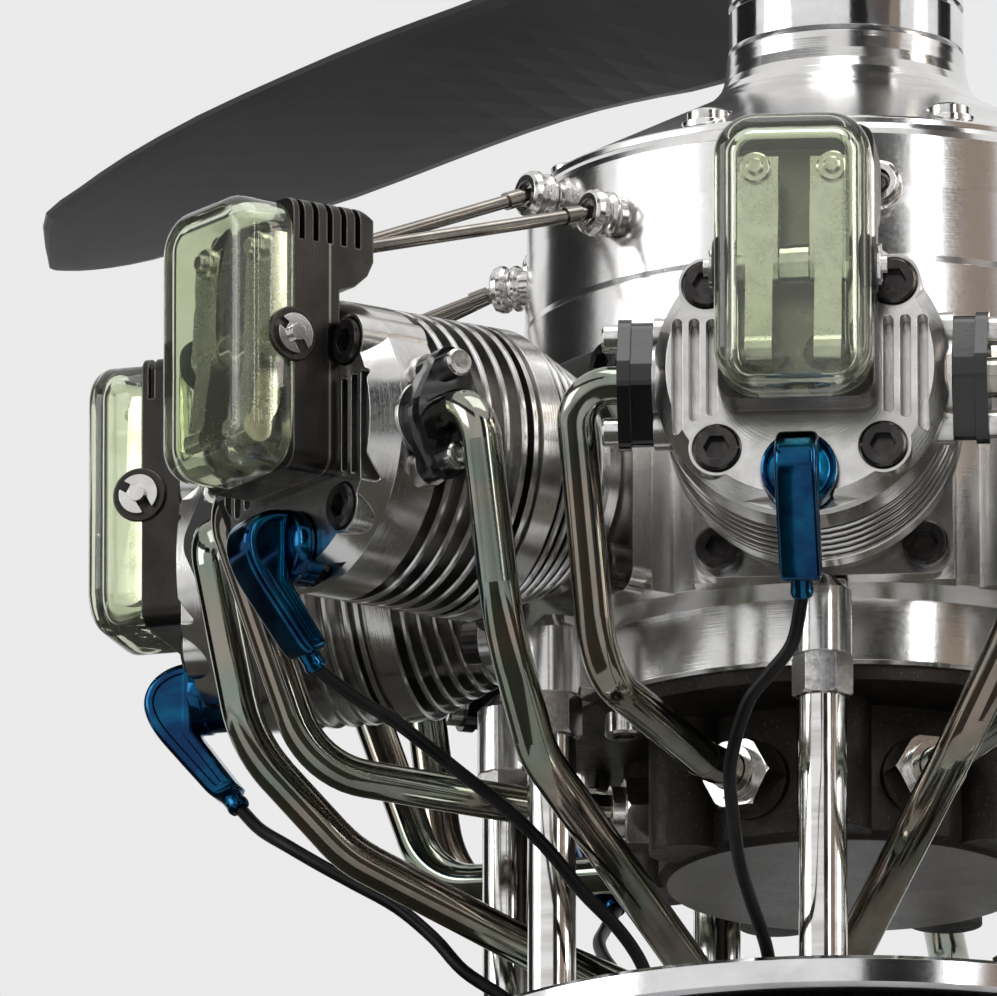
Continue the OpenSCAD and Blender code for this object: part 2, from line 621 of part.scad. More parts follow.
// Elbow connectors: a round boot over the plug and a flat fin that leads down to the cable sleeve
// Outline from the side: [outward from the head's face, upward from the plug's middle]
cap_side = [[4, -8.2], [4, 7.4], [7, 7.4], [10.6, 6.4], [13.6, 4.4], [15.4, 1.8], [16, -1.4],
  [15, -5.2], [12.6, -9.2], [8.8, -13.8], [4, -19.4], [0.4, -23.4], [-2, -24.2], [-5, -22.6],
  [-5.8, -21.2], [-2.2, -16.4], [1.4, -11.6]];
cap_tail = [-2, -21.2]; // start of the cable sleeve, from the same place
module plug_caps() {
  color(blue) radial(0) {
    difference() {
      union() {
        translate([0, well_z, head_r1 - 3.5]) cylinder(r = boot_r, h = 8);
        translate([0, well_z, head_r1 + 4]) cylinder(r1 = boot_r, r2 = boot_r - 1, h = 1.2);
        translate([-cap_w / 2, well_z, head_r1]) rotate([0, 90, 0]) linear_extrude(cap_w)
          polygon([for (p = cap_side) [-p.x, p.y]]);
      }
      translate([0, well_z, head_r1 - 4]) cylinder(r = 3.4 + slip, h = 5);
    }
    tail = [0, well_z + cap_tail.y, head_r1 + cap_tail.x];
    along(tail, lead_a[0]) cylinder(r = 2.55, h = norm(lead_a[0] - tail));
  }
}

// Ignition leads: round points [across, height, outward] for the first cylinder and for the others
lead_a = [[0, 76.4, 142.2], [-2.5, 66.8, 138], [-8, 60.5, 135], [-13, 54.6, 132], [-17.2, 43, 124],
  [-17.3, 34, 114], [-16.8, 27, 102], [-15.4, 21.8, 90], [-14.2, 18.6, 80], [-13.3, 16, 72.4],
  [-12.8, 12.8, 67.6], [-12.6, 8.6, 65.5], [-12.6, 4, 65.3]];
lead_b = [[0, 76.4, 142.2], [5, 70, 136], [9.5, 64.6, 128.4], [11.6, 59, 120], [12.6, 54, 112],
  [14.4, 47, 101], [16.6, 38.5, 91.5], [18.4, 30, 84], [18.4, 23.4, 75], [17.6, 17.8, 68.8],
  [17, 12.8, 65.6], [16.8, 8.4, 64.4], [16.8, 4, 64.3]];
function side(p, i) = unit(cross(p[min(i + 1, len(p) - 1)] - p[max(i - 1, 0)], [0, 0, 1]));
function upward(p, i) = unit(cross(p[min(i + 1, len(p) - 1)] - p[max(i - 1, 0)], side(p, i)));
module cord(p, r) {
  m = 8;
  n = len(p);
  polyhedron(
    [for (i = [0 : n - 1], j = [0 : m - 1])
      p[i] + r * (side(p, i) * cos(j * 45) + upward(p, i) * sin(j * 45))],
    concat([[for (j = [0 : m - 1]) j]], [[for (j = [m - 1 : -1 : 0]) (n - 1) * m + j]],
      [for (i = [0 : n - 2], j = [0 : m - 1])
        [i * m + j, (i + 1) * m + j, (i + 1) * m + (j + 1) % m, i * m + (j + 1) % m]]), convexity = 6);
}
module ignition_leads() {
  color(dark) for (k = [0 : cyl_count - 1]) at_cyl(k, 0) {
    lead = k == 0 ? lead_a : lead_b;
    foot = lead[len(lead) - 1];
    cord(lead, lead_r);
    translate([foot.x, foot.y - 3.2, foot.z]) rotate([-90, 0, 0]) cylinder(r = socket_r, h = 8);
  }
}

// Guides whose turned outer ends hold the pushrods' feet
module tappet_guides() {
  color(steel) for (g = [[1, guide_ex_z], [-1, guide_in_z]]) radial(g[1]) translate([g[0] * guide_t, 0, 0])
    rotate_extrude() polygon([[0, 64.4], [guide_r - 0.6, 64.4], [guide_r, 65], [guide_r, 72.1],
      [4.7, 72.1], [5.2, 72.9], [5.2, 73.6], [4.7, 74.4], [4.2, 74.7], [4.9, 75.2], [5.35, 76],
      [5.35, 77], [4.9, 78.2], [4.2, 78.7], [2.9, 78.7], [2.7, 76.6], [1.6, 76.1], [0, 76]]);
}

function guide_out(s, z) = [s * guide_t, z, 77];
function guide_in(s) = [s * rocker_t, rod_end[1], rod_end[0]];
module pushrods() {
  color(dark) radial(0) for (g = [[1, guide_ex_z], [-1, guide_in_z]]) {
    a = guide_out(g[0], g[1]);
    b = guide_in(g[0]);
    along(a, b) {
      cylinder(r = rod_push_r, h = norm(b - a) - 2);
      translate([0, 0, 3.4]) cylinder(r = rod_push_r + 0.5, h = 4);
    }
  }
}

// Valve springs drawn as corrugated sleeves between the head and the retainers
module valve_springs() {
  n = 4;
  s0 = head_r1 + 0.1;
  p = (retainer_r0 - 0.1 - s0) / n;
  color(dark) radial(cyl_z) for (s = [-1, 1]) translate([s * valve_t, valve_y, 0]) rotate_extrude()
    polygon(concat(
      [for (i = [0 : n - 1]) each [[4.4, s0 + p * i], [5.4, s0 + p * (i + 0.35)],
        [5.4, s0 + p * (i + 0.65)]]],
      [[4.4, s0 + p * n], [3.3, s0 + p * n]],
      [for (i = [n - 1 : -1 : 0]) each [[4.3, s0 + p * (i + 0.65)], [4.3, s0 + p * (i + 0.35)],
        [3.3, s0 + p * i]]]));
}

// Pistons at the positions the crank gives them at rest
module pistons() {
  color(cast) for (k = [0 : cyl_count - 1]) {
    a = pitch * k;
    c = crank_throw * cos(a) + sqrt(pow(rod_length, 2) - pow(crank_throw * sin(a), 2));
    at_cyl(k, cyl_z) translate([0, 0, c]) rotate_extrude() polygon([[0, 8], [11, 8], [11, -8],
      [bore_d / 2 - run, -8], [bore_d / 2 - run, 6.5], [bore_d / 2 - 0.8, 6.5],
      [bore_d / 2 - 0.8, 8], [bore_d / 2 - run, 8], [bore_d / 2 - run, pin_to_crown], [0, pin_to_crown]]);
  }
}

module crank_web(z, h) {
  translate([0, 0, z]) linear_extrude(h) {
    circle(14);
    translate([0, -crank_throw]) circle(12);
    translate([-11, -crank_throw]) square([22, crank_throw]);
    intersection() {
      circle(29);
      translate([-26, 2]) square([52, 40]);
    }
  }
}

// Crankshaft with its pinion, and the threaded nose that holds the propeller
module crankshaft() {
  top = prop_z + boss_half;
  color(steel) difference() {
    union() {
      translate([0, 0, 86]) cylinder(r = 9, h = 21);
      crank_web(106.6, 8);
      translate([0, -crank_throw, 114]) cylinder(r = 9, h = 27);
      crank_web(140, 8);
      translate([0, 0, 147]) cylinder(r = 11, h = 18);
      translate([0, 0, 164]) cylinder(r = shaft_r, h = top - 164);
      translate([0, 0, top - 1]) cylinder(r = 8, h = 21);
      translate([0, 0, 176]) linear_extrude(7) polygon(gear_points(24, 1, 1, 1.25, 0.12));
    }
    translate([0, 0, top]) cylinder(r = 2.5, h = 30);
  }
}

module prop_driver() {
  color(steel) {
    rotate_extrude() polygon([[shaft_r + run, 238.9], [driver_r - 1.5, 238.9], [driver_r, 239.8],
      [driver_r, 248.4], [driver_r - 0.8, 248.9], [driver_r - 0.8, 249.7], [driver_r, 250.2],
      [driver_r, driver_z1 - 0.6], [driver_r - 0.6, driver_z1], [shaft_r + run, driver_z1]]);
  }
}

// Blade sections: [radius, chord, thickness, angle, offset towards the leading edge]
blade = [[14, 34, 20, 46, 0], [26, 36, 17, 45, -1], [42, 41, 14, 43, -4], [81, 43.8, 10, 38, -4.9],
  [110, 43.1, 8.6, 31, -4], [135, 43.3, 7.6, 25.5, -2.7], [165, 44.8, 6.6, 21.5, -1.4],
  [200, 45.5, 5.8, 19, -1.2], [240, 45, 5, 17, -1.5], [275, 40.5, 4.4, 15, -1.8], [300, 35.2, 4, 14, -2.8],
  [320, 30, 3.6, 13.5, -3.8], [334, 18.6, 3, 13, -6.6], [342, 9.4, 2.2, 13, -8],
  [prop_d / 2, 2.4, 1, 13, -8.3]];
foil = [[0.5, 0], [0.46, 0.2], [0.36, 0.36], [0.2, 0.46], [0, 0.48], [-0.2, 0.4], [-0.36, 0.26],
  [-0.48, 0.08], [-0.5, 0], [-0.46, -0.1], [-0.3, -0.2], [-0.1, -0.27], [0.1, -0.3], [0.3, -0.3],
  [0.42, -0.25], [0.48, -0.14]];
blade_rise = 0.0075; // height gained per millimetre of radius

// Section between rows i and i + 1 of the table, on a smooth curve through all rows
function row(i) = blade[max(0, min(i, len(blade) - 1))];
function section(i, t) = row(i) + (row(i + 1) - row(i - 1)) * t / 2
  + (row(i - 1) * 2 - row(i) * 5 + row(i + 1) * 4 - row(i + 2)) * t * t / 2
  + ((row(i) - row(i + 1)) * 3 + row(i + 2) - row(i - 1)) * t * t * t / 2;
module blade_solid() {
  sections = concat([for (i = [0 : len(blade) - 2], t = [0, 0.5]) section(i, t)], [row(len(blade) - 1)]);
  m = len(foil);
  n = len(sections);
  polyhedron(
    [for (s = sections, f = foil) let (u = f.x * s[1] + s[4], v = f.y * s[2])
      [v * sin(s[3]) - u * cos(s[3]), s[0], u * sin(s[3]) + v * cos(s[3]) + s[0] * blade_rise]],
    concat([[for (j = [0 : m - 1]) j]], [[for (j = [m - 1 : -1 : 0]) (n - 1) * m + j]],
      [for (i = [0 : n - 2], j = [0 : m - 1]) each [
        [i * m + j, (i + 1) * m + j, (i + 1) * m + (j + 1) % m],
        [i * m + j, (i + 1) * m + (j + 1) % m, i * m + (j + 1) % m]]]), convexity = 6);
}

module propeller() {
  color(dark) translate([0, 0, prop_z]) rotate([0, 0, prop_angle]) difference() {
    union() {
      translate([0, 0, -boss_half]) cylinder(r = prop_boss_r, h = 2 * boss_half);
      for (a = [0, 180]) rotate([0, 0, a]) blade_solid();
    }
    translate([0, 0, -20]) cylinder(r = shaft_r + run, h = 40);
  }
}

module prop_fasteners() {
  z = prop_z + boss_half;
  color(steel) {
    translate([0, 0, z]) tube(24, 8 + slip, 4);
    translate([0, 0, z + 4]) hex_nut(24, 9, 8 + slip);
    for (a = [0 : 60 : 300]) rotate([0, 0, a + 30]) translate([18.6, 0, z + 4]) linear_extrude(4)
      hexagon(8);
  }
}

// Layshaft: the large wheel meshes with the crankshaft's pinion, the small one with the cam ring
module reduction_gear() {
  color(steel) translate([lay_offset, 0, 0]) difference() {
    union() {
      translate([0, 0, 176]) linear_extrude(7) rotate(180 / 48) polygon(gear_points(48, 1, 1, 1.25, 0.06));
      translate([0, 0, 182]) cylinder(r = 13, h = 4.5);
      translate([0, 0, 186]) linear_extrude(7) polygon(gear_points(16, 2.25, 2, 2.8, 0.16));
    }
    translate([0, 0, 170]) cylinder(r = lay_pin_r + run, h = 40);
  }
}

// Cam ring with inner teeth, three lobes for each track, and a web to its hub
module cam_ring() {
  color(steel) difference() {
    union() {
      translate([0, 0, 184.4]) cylinder(r = cam_base_r, h = 17);
      for (t = [[184.4, 0], [194.2, 40]], a = [0 : 120 : 240]) rotate([0, 0, a + t[1]])
        translate([cam_base_r + cam_lift - 14, 0, t[0]]) cylinder(r = 14, h = 7.6);
    }
    translate([0, 0, 180]) linear_extrude(16) polygon(gear_points(48, 2.25, 2.8, 2, -0.1));
    translate([0, 0, 199.6]) rotate_extrude() polygon([[hub_r + 6, 0], [54, 0], [54, 5], [hub_r + 6, 5]]);
    translate([0, 0, 180]) cylinder(r = hub_r + run, h = 40);
  }
}

// One rocker about its pin: outer arm to the pushrod, inner arm to the valve stem, s = 1 for exhaust
module rocker(k, s) {
  w = rocker_w;
  valve_d = cyl_z + valve_y - pin_z;
  adjust_d = rod_end[1] - pin_z;
  arm = -3 - s * (rocker_t - valve_t);
  color(steel) at_cyl(k, pin_z) translate([s * rocker_t, 0, pin_axis]) difference() {
    union() {
      translate([-w / 2, 0, 0]) rotate([0, 90, 0]) cylinder(r = 4.7, h = w);
      translate([-w / 2, 0, 0]) rotate([0, 90, 0]) linear_extrude(w)
        polygon([[3.4, 0], [1.2, adjust_d], [0, adjust_d + 3.6], [-3.2, adjust_d + 3.6], [-4, adjust_d],
          [-4.6, 0]]);
      translate([arm, 0, 0]) rotate([0, 90, 0]) linear_extrude(6)
        polygon([[3, 0], [-1.2, valve_d + 5], [-2.6, valve_d + 1.6], [-2.8, valve_d - 1.6],
          [-5.2, valve_d - 1.8], [-7.4, valve_d], [-4.6, 0]]);
      translate([arm, valve_d, valve_tip - pin_axis + pad_r + 0.03]) rotate([0, 90, 0])
        cylinder(r = pad_r, h = 6);
      translate([0, adjust_d, -5]) cylinder(r = 2.2, h = 10);
    }
    translate([-w, 0, 0]) rotate([0, 90, 0]) cylinder(r = pin_r + run, h = 2 * w);
  }
}

// One poppet valve with its stem and spring retainer
module valve(k, s) {
  seat = head_r0 + chamber_r0;
  color(dark) at_cyl(k, cyl_z) translate([s * valve_t, valve_y, 0]) rotate_extrude() polygon([
    [0, seat - 1.4], [6.6, seat - 1.4], [6.8, seat - 1.2], [6.8, seat], [5.8, seat], [2.6, seat + 3],
    [stem_r, seat + 7], [stem_r, retainer_r0], [5.8, retainer_r0], [5.8, retainer_r0 + 1.4],
    [4, retainer_r0 + 2.6], [stem_r, retainer_r0 + 2.6], [stem_r, valve_tip], [0, valve_tip]]);
}

module rocker_ex_0() {
  rocker(0, 1);
}
module rocker_ex_1() {
  rocker(1, 1);
}
module rocker_ex_2() {
  rocker(2, 1);
}
module rocker_ex_3() {
  rocker(3, 1);
}
module rocker_ex_4() {
  rocker(4, 1);
}
module rocker_ex_5() {
  rocker(5, 1);
}
module rocker_ex_6() {
  rocker(6, 1);
}
module rocker_in_0() {
  rocker(0, -1);
}
module rocker_in_1() {
  rocker(1, -1);
}
module rocker_in_2() {
  rocker(2, -1);
}
module rocker_in_3() {
  rocker(3, -1);
}
module rocker_in_4() {
  rocker(4, -1);
}
module rocker_in_5() {
  rocker(5, -1);
}
module rocker_in_6() {
  rocker(6, -1);
}
module valve_ex_0() {
  valve(0, 1);
}
module valve_ex_1() {
  valve(1, 1);
}
module valve_ex_2() {
  valve(2, 1);
}
module valve_ex_3() {
  valve(3, 1);
}
module valve_ex_4() {
  valve(4, 1);
}
module valve_ex_5() {
  valve(5, 1);
}
module valve_ex_6() {
  valve(6, 1);
}
module valve_in_0() {
  valve(0, -1);
}
module valve_in_1() {
  valve(1, -1);
}
module valve_in_2() {
  valve(2, -1);
}
module valve_in_3() {
  valve(3, -1);
}
module valve_in_4() {
  valve(4, -1);
}
module valve_in_5() {
  valve(5, -1);
}
module valve_in_6() {
  valve(6, -1);
}

mount_ring();
standoff_rods();
standoff_nuts();
crankcase();
cam_case();
nose_cover();
silver_screws();
black_screws();
main_bearings();
cylinders();
heads();
rocker_boxes();
rocker_covers();
rocker_pins();
port_flanges();
exhaust_pipes();
intake_pipes();
gland_nuts();
induction_housing();
spark_plugs();
plug_caps();
ignition_leads();
tappet_guides();
pushrods();
valve_springs();
pistons();
crankshaft();
prop_driver();
propeller();
prop_fasteners();
reduction_gear();
cam_ring();
rocker_ex_0();
rocker_ex_1();
rocker_ex_2();
rocker_ex_3();
rocker_ex_4();
rocker_ex_5();
rocker_ex_6();
rocker_in_0();
rocker_in_1();
rocker_in_2();
rocker_in_3();
rocker_in_4();
rocker_in_5();
rocker_in_6();
valve_ex_0();
valve_ex_1();
valve_ex_2();
valve_ex_3();
valve_ex_4();
valve_ex_5();
valve_ex_6();
valve_in_0();
valve_in_1();
valve_in_2();
valve_in_3();
valve_in_4();
valve_in_5();
valve_in_6();
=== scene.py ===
"""Seven-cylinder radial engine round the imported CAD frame: camera, studio, materials and small pieces."""

import math

import bmesh
import bpy
from mathutils import Matrix, Vector


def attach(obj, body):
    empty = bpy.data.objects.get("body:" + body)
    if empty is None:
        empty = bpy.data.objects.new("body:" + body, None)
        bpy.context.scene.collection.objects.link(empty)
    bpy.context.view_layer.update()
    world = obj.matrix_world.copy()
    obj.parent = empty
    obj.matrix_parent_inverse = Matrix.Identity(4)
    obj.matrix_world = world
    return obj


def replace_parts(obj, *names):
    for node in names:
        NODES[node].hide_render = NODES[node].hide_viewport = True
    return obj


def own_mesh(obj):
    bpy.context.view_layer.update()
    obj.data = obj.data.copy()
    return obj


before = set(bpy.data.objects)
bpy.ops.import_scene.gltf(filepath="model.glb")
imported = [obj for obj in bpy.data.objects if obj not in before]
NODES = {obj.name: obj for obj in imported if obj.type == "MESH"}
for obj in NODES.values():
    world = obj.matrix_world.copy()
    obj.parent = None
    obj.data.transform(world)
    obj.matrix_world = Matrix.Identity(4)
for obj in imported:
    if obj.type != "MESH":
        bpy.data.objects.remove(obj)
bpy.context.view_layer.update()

MM = 0.001
CYLINDERS = 7
PITCH = 2 * math.pi / CYLINDERS

# Levels of part.scad in metres: heights above the ring's underside, reaches from the engine's axis
CYL_Z = 0.1273  # height of the cylinders' axes
DISC_Z = 0.04765  # just above the machined face under the induction housing
BOX_FLOOR = 0.1505  # reach of the rocker housings' floors
CERAMIC_START = 0.1415  # reach at which the spark plugs' insulators begin


# Places
def local(k, point):
    """Point (across, height, outward) in millimetres at cylinder k, as a vector in metres."""
    t, z, r = (v * MM for v in point)
    a = -PITCH * k
    return Vector((t * math.cos(a) + r * math.sin(a), t * math.sin(a) - r * math.cos(a), z))


def spoke(k, height):
    """Matrix whose x runs across cylinder k, y upwards and z outward from the axis, at a height in metres."""
    turn = Matrix.Rotation(-PITCH * k, 4, "Z")
    return turn @ Matrix.Translation((0, 0, height)) @ Matrix.Rotation(math.pi / 2, 4, "X")


def add_object(name, data):
    thing = bpy.data.objects.new(name, data)
    bpy.context.scene.collection.objects.link(thing)
    return thing


# Camera, matched to the photograph
AZIMUTH, ELEVATION = math.radians(4.58), math.radians(15.2)
DISTANCE = 8.0
SENSOR = 36.0
PIXELS = 997
SCALE = 4497.0  # pixels of the photograph per metre at the engine's axis
CENTRE_RIGHT, CENTRE_UP = -0.0779, 0.1323  # the picture's middle, from the middle of the ring's underside
forward = Vector((-math.sin(AZIMUTH) * math.cos(ELEVATION), math.cos(AZIMUTH) * math.cos(ELEVATION),
                  math.sin(ELEVATION)))
right = Vector((math.cos(AZIMUTH), math.sin(AZIMUTH), 0))
centre = right * CENTRE_RIGHT + right.cross(forward) * CENTRE_UP

camera_data = bpy.data.cameras.new("camera")
camera_data.sensor_width = SENSOR
camera_data.lens = SENSOR * SCALE * DISTANCE / PIXELS
camera_data.clip_start, camera_data.clip_end = 0.1, 60
camera = add_object("camera", camera_data)
camera.location = centre - forward * DISTANCE
camera.rotation_mode = "QUATERNION"
camera.rotation_quaternion = forward.to_track_quat("-Z", "Y")
bpy.context.scene.camera = camera


# Node graphs
class Graph:
    """Node tree with short calls for the nodes used here, in metres; a noise scale is cells per metre."""

    def __init__(self, owner):
        owner.use_nodes = True
        self.owner = owner
        self.tree = owner.node_tree
        self.tree.nodes.clear()

    def add(self, kind, values=None, **settings):
        """New node with its settings, and a link or a value on each named or numbered input."""
        n = self.tree.nodes.new("ShaderNode" + kind)
        for key, value in settings.items():
            setattr(n, key, value)
        for key, value in (values or {}).items():
            if isinstance(value, bpy.types.NodeSocket):
                self.tree.links.new(value, n.inputs[key])
            else:
                n.inputs[key].default_value = value
        return n

    def math(self, operation, *values):
        return self.add("Math", dict(enumerate(values)), operation=operation).outputs[0]

    def noise(self, vector, scale, detail=3.0, rough=0.5, distortion=0.0):
        return self.add("TexNoise", {"Vector": vector, "Scale": scale, "Detail": detail, "Roughness": rough,
                                     "Distortion": distortion}).outputs[0]

    def ramp(self, factor, *stops):
        """Colour ramp through stops of (place, colour or grey)."""
        n = self.add("ValToRGB", {0: factor})
        ramp = n.color_ramp
        while len(ramp.elements) < len(stops):
            ramp.elements.new(0.5)
        for element, (place, colour) in zip(ramp.elements, stops):
            element.position = place
            element.color = (*colour, 1) if hasattr(colour, "__len__") else (colour, colour, colour, 1)
        return n.outputs[0]

    def span(self, value, low, high, out_low, out_high):
        return self.add("MapRange", {0: value, 1: low, 2: high, 3: out_low, 4: out_high}).outputs[0]

    def mix(self, factor, a, b):
        a, b = (c if isinstance(c, bpy.types.NodeSocket) else (*c, 1) for c in (a, b))
        return self.add("Mix", {0: factor, 6: a, 7: b}, data_type="RGBA").outputs[2]

    def patches(self, field, low, high, light, dark):
        """Colour that goes from light to dark as the field rises from low to high."""
        return self.mix(self.ramp(field, (low, 0.0), (high, 1.0)), light, dark)

    def wear(self, a, b, low, high, smooth, dull):
        """Roughness that goes from smooth to dull as the sum of two fields rises from low to high."""
        return self.span(self.math("ADD", a, b), low, high, smooth, dull)

    def scaled(self, vector, factors):
        return self.add("VectorMath", {0: vector, 1: factors}, operation="MULTIPLY").outputs[0]

    def place(self):
        """Position in the row frame."""
        return self.add("TexCoord").outputs["Object"]

    def axes(self):
        """The position's x, y and z."""
        return self.add("SeparateXYZ", {0: self.place()}).outputs[:3]

    def distance(self, a, b):
        squares = (self.math("MULTIPLY", v, v) for v in (a, b))
        return self.math("SQRT", self.math("ADD", *squares))

    def turned(self):
        """Radius, height and angle of a part turned about the engine's axis."""
        x, y, z = self.axes()
        return self.distance(x, y), z, self.math("ARCTAN2", y, x)

    def cylinder(self):
        """Radius, distance along the cylinder and angle about the nearest cylinder's own axis."""
        x, y, z = self.axes()
        reach = self.distance(x, y)
        angle = self.math("ARCTAN2", x, self.math("MULTIPLY", y, -1.0))
        nearest = self.math("MULTIPLY", self.math("ROUND", self.math("DIVIDE", angle, PITCH)), PITCH)
        offset = self.math("SUBTRACT", angle, nearest)
        across = self.math("MULTIPLY", reach, self.math("SINE", offset))
        outward = self.math("MULTIPLY", reach, self.math("COSINE", offset))
        rise = self.math("SUBTRACT", z, CYL_Z)
        return self.distance(across, rise), outward, self.math("ARCTAN2", rise, across)

    def stretched(self, radius, along, angle):
        """Vector for marks that run round an axis, from its radius, length and angle."""
        return self.add("CombineXYZ", {0: radius, 1: along, 2: angle}).outputs[0]

    def surface(self, sockets, height, strength, distance, edge=0.0):
        """Principled shader over the sockets, with a bump from height and edges rounded by edge metres."""
        bump = {"Strength": strength, "Distance": distance, "Height": height}
        if edge:
            bump["Normal"] = self.add("Bevel", {"Radius": edge}, samples=4).outputs[0]
        normal = self.add("Bump", bump).outputs[0]
        shader = self.add("BsdfPrincipled", {**sockets, "Normal": normal})
        self.add("OutputMaterial", {"Surface": shader.outputs[0]})
        return self.owner


def graph(name):
    return Graph(bpy.data.materials.new(name))


# Materials: the two tones of a metal are its clean and its smeared one
def metal(name, light, dark, rough, smear, rings=None, line_depth=0.25, edge=0.0002,
          painted_shade=None, shade_reach=0.004):
    """Machined metal: smears of two tones, lathe rings or fine grain, and painted shade that darkens its
    corners and gaps.
    """
    g = graph(name)
    blotch = g.noise(g.place(), smear, 4.0, 0.6, 0.4)
    fine = g.noise(g.place(), 1500.0, 3.0, 0.6)
    colour = g.patches(blotch, 0.35, 0.68, light, dark)
    if painted_shade:
        # Painted shade: the colour darkens towards the given shade colour where an occlusion test finds
        # nearby surfaces.
        gap = g.add("AmbientOcclusion", {"Distance": shade_reach}, samples=4).outputs["AO"]
        colour = g.mix(g.span(gap, 0.25, 0.95, 1.0, 0.0), colour, painted_shade)
    lines = fine
    if rings:
        radius, along, angle = rings(g)
        lines = g.noise(g.stretched(radius, along, g.math("MULTIPLY", angle, 0.0006)), 2600.0, 2.0, 0.6)
    worn = g.wear(g.math("MULTIPLY", blotch, 0.55), g.math("MULTIPLY", fine, 0.45), 0.3, 0.7, *rough)
    height = g.math("ADD", g.math("MULTIPLY", lines, line_depth), g.math("MULTIPLY", fine, 0.12))
    return g.surface({"Base Color": colour, "Metallic": 1.0, "Roughness": worn}, height, 0.25, 0.00012, edge)


def drawn_steel():
    """Ground bar: fine marks along it and faint bands across."""
    g = graph("drawn_steel")
    bands = g.noise(g.scaled(g.place(), (30.0, 30.0, 260.0)), 1.0, 3.0)
    fine = g.noise(g.scaled(g.place(), (900.0, 900.0, 60.0)), 1.0, 3.0)
    colour = g.patches(bands, 0.4, 0.65, (0.88, 0.87, 0.86), (0.66, 0.64, 0.62))
    rough = g.wear(bands, fine, 0.7, 1.3, 0.05, 0.17)
    return g.surface({"Base Color": colour, "Metallic": 1.0, "Roughness": rough}, fine, 0.12, 0.00008, 0.0002)


def pipe_metal(name, shift):
    """Dark polished pipe with olive, straw and brown heat tints, and brown streaks that are partly heat tint
    and partly painted dark reflection bands; shift moves it along the tints.
    """
    g = graph(name)
    heat = g.span(g.axes()[2], 0.02, 0.135, 0.0, 0.30)
    cloud = g.noise(g.place(), 26.0, 3.0, 0.5, 0.6)
    tint_and_reflection_streak = g.noise(g.scaled(g.place(), (150.0, 150.0, 22.0)), 1.0, 2.0, 0.5, 0.3)
    level = g.math("ADD", heat, g.math("ADD", g.math("MULTIPLY", cloud, 0.8), shift))
    tint = g.ramp(level, (0.22, (0.42, 0.44, 0.40)), (0.40, (0.27, 0.31, 0.245)), (0.52, (0.36, 0.30, 0.25)),
                  (0.64, (0.23, 0.28, 0.235)), (0.80, (0.42, 0.39, 0.34)))
    # Brown streaks, partly heat tint and partly painted dark reflection bands, stretched upright.
    colour = g.mix(g.ramp(tint_and_reflection_streak, (0.42, 0.0), (0.72, 0.5)), tint, (0.20, 0.165, 0.14))
    rough = g.wear(tint_and_reflection_streak, cloud, 0.7, 1.35, 0.06, 0.14)
    grit = g.noise(g.place(), 1300.0, 2.0)
    return g.surface({"Base Color": colour, "Metallic": 1.0, "Roughness": rough}, grit, 0.05, 0.0001)


def bronze_metal():
    """Dark anodised housing with bright worn edges, brushed sides and a pale machined floor."""
    g = graph("bronze_metal")
    radius, along, angle = g.cylinder()
    brushed = g.noise(g.stretched(g.math("MULTIPLY", along, 3500.0), g.math("MULTIPLY", radius, 90.0), angle),
                      1.0, 3.0, 0.6)
    cloud = g.noise(g.place(), 70.0, 4.0, 0.6, 0.5)
    colour = g.patches(cloud, 0.35, 0.7, (0.054, 0.050, 0.047), (0.028, 0.026, 0.025))
    off_floor = g.math("ABSOLUTE", g.math("SUBTRACT", along, BOX_FLOOR))
    colour = g.mix(g.math("LESS_THAN", off_floor, 0.0003), colour, (0.22, 0.215, 0.19))
    rounded = g.add("Bevel", {"Radius": 0.0007}, samples=4).outputs[0]
    flat = g.add("NewGeometry").outputs["Normal"]
    agree = g.add("VectorMath", {0: rounded, 1: flat}, operation="DOT_PRODUCT").outputs["Value"]
    edge = g.math("MULTIPLY", g.span(agree, 0.72, 0.97, 1.0, 0.0), g.span(cloud, 0.35, 0.6, 0.15, 0.7))
    colour = g.mix(edge, colour, (0.42, 0.39, 0.35))
    rough = g.wear(brushed, cloud, 0.6, 1.4, 0.20, 0.42)
    return g.surface({"Base Color": colour, "Metallic": 0.9, "Roughness": rough},
                     brushed, 0.18, 0.0001, 0.00035)


def black_oxide():
    g = graph("black_oxide")
    grain = g.noise(g.place(), 1800.0, 3.0, 0.6)
    cloud = g.noise(g.place(), 220.0, 3.0)
    colour = g.patches(cloud, 0.4, 0.7, (0.040, 0.037, 0.036), (0.085, 0.079, 0.075))
    rough = g.wear(grain, cloud, 0.7, 1.3, 0.12, 0.28)
    return g.surface({"Base Color": colour, "Metallic": 0.8, "Roughness": rough}, grain, 0.2, 0.0001, 0.0002)


def black_gloss():
    """Black lacquer with orange peel under a thin coat, and specks of dust."""
    g = graph("black_gloss")
    peel = g.noise(g.place(), 420.0, 2.0)
    dust = g.noise(g.place(), 1900.0, 4.0, 0.7)
    colour = g.patches(dust, 0.62, 0.78, (0.005, 0.005, 0.006), (0.035, 0.035, 0.035))
    rough = g.span(dust, 0.35, 0.75, 0.05, 0.2)
    return g.surface({"Base Color": colour, "Metallic": 0.0, "Roughness": rough, "Specular IOR Level": 0.5,
                      "Coat Weight": 0.3, "Coat Roughness": 0.04}, peel, 0.08, 0.0001, 0.0002)


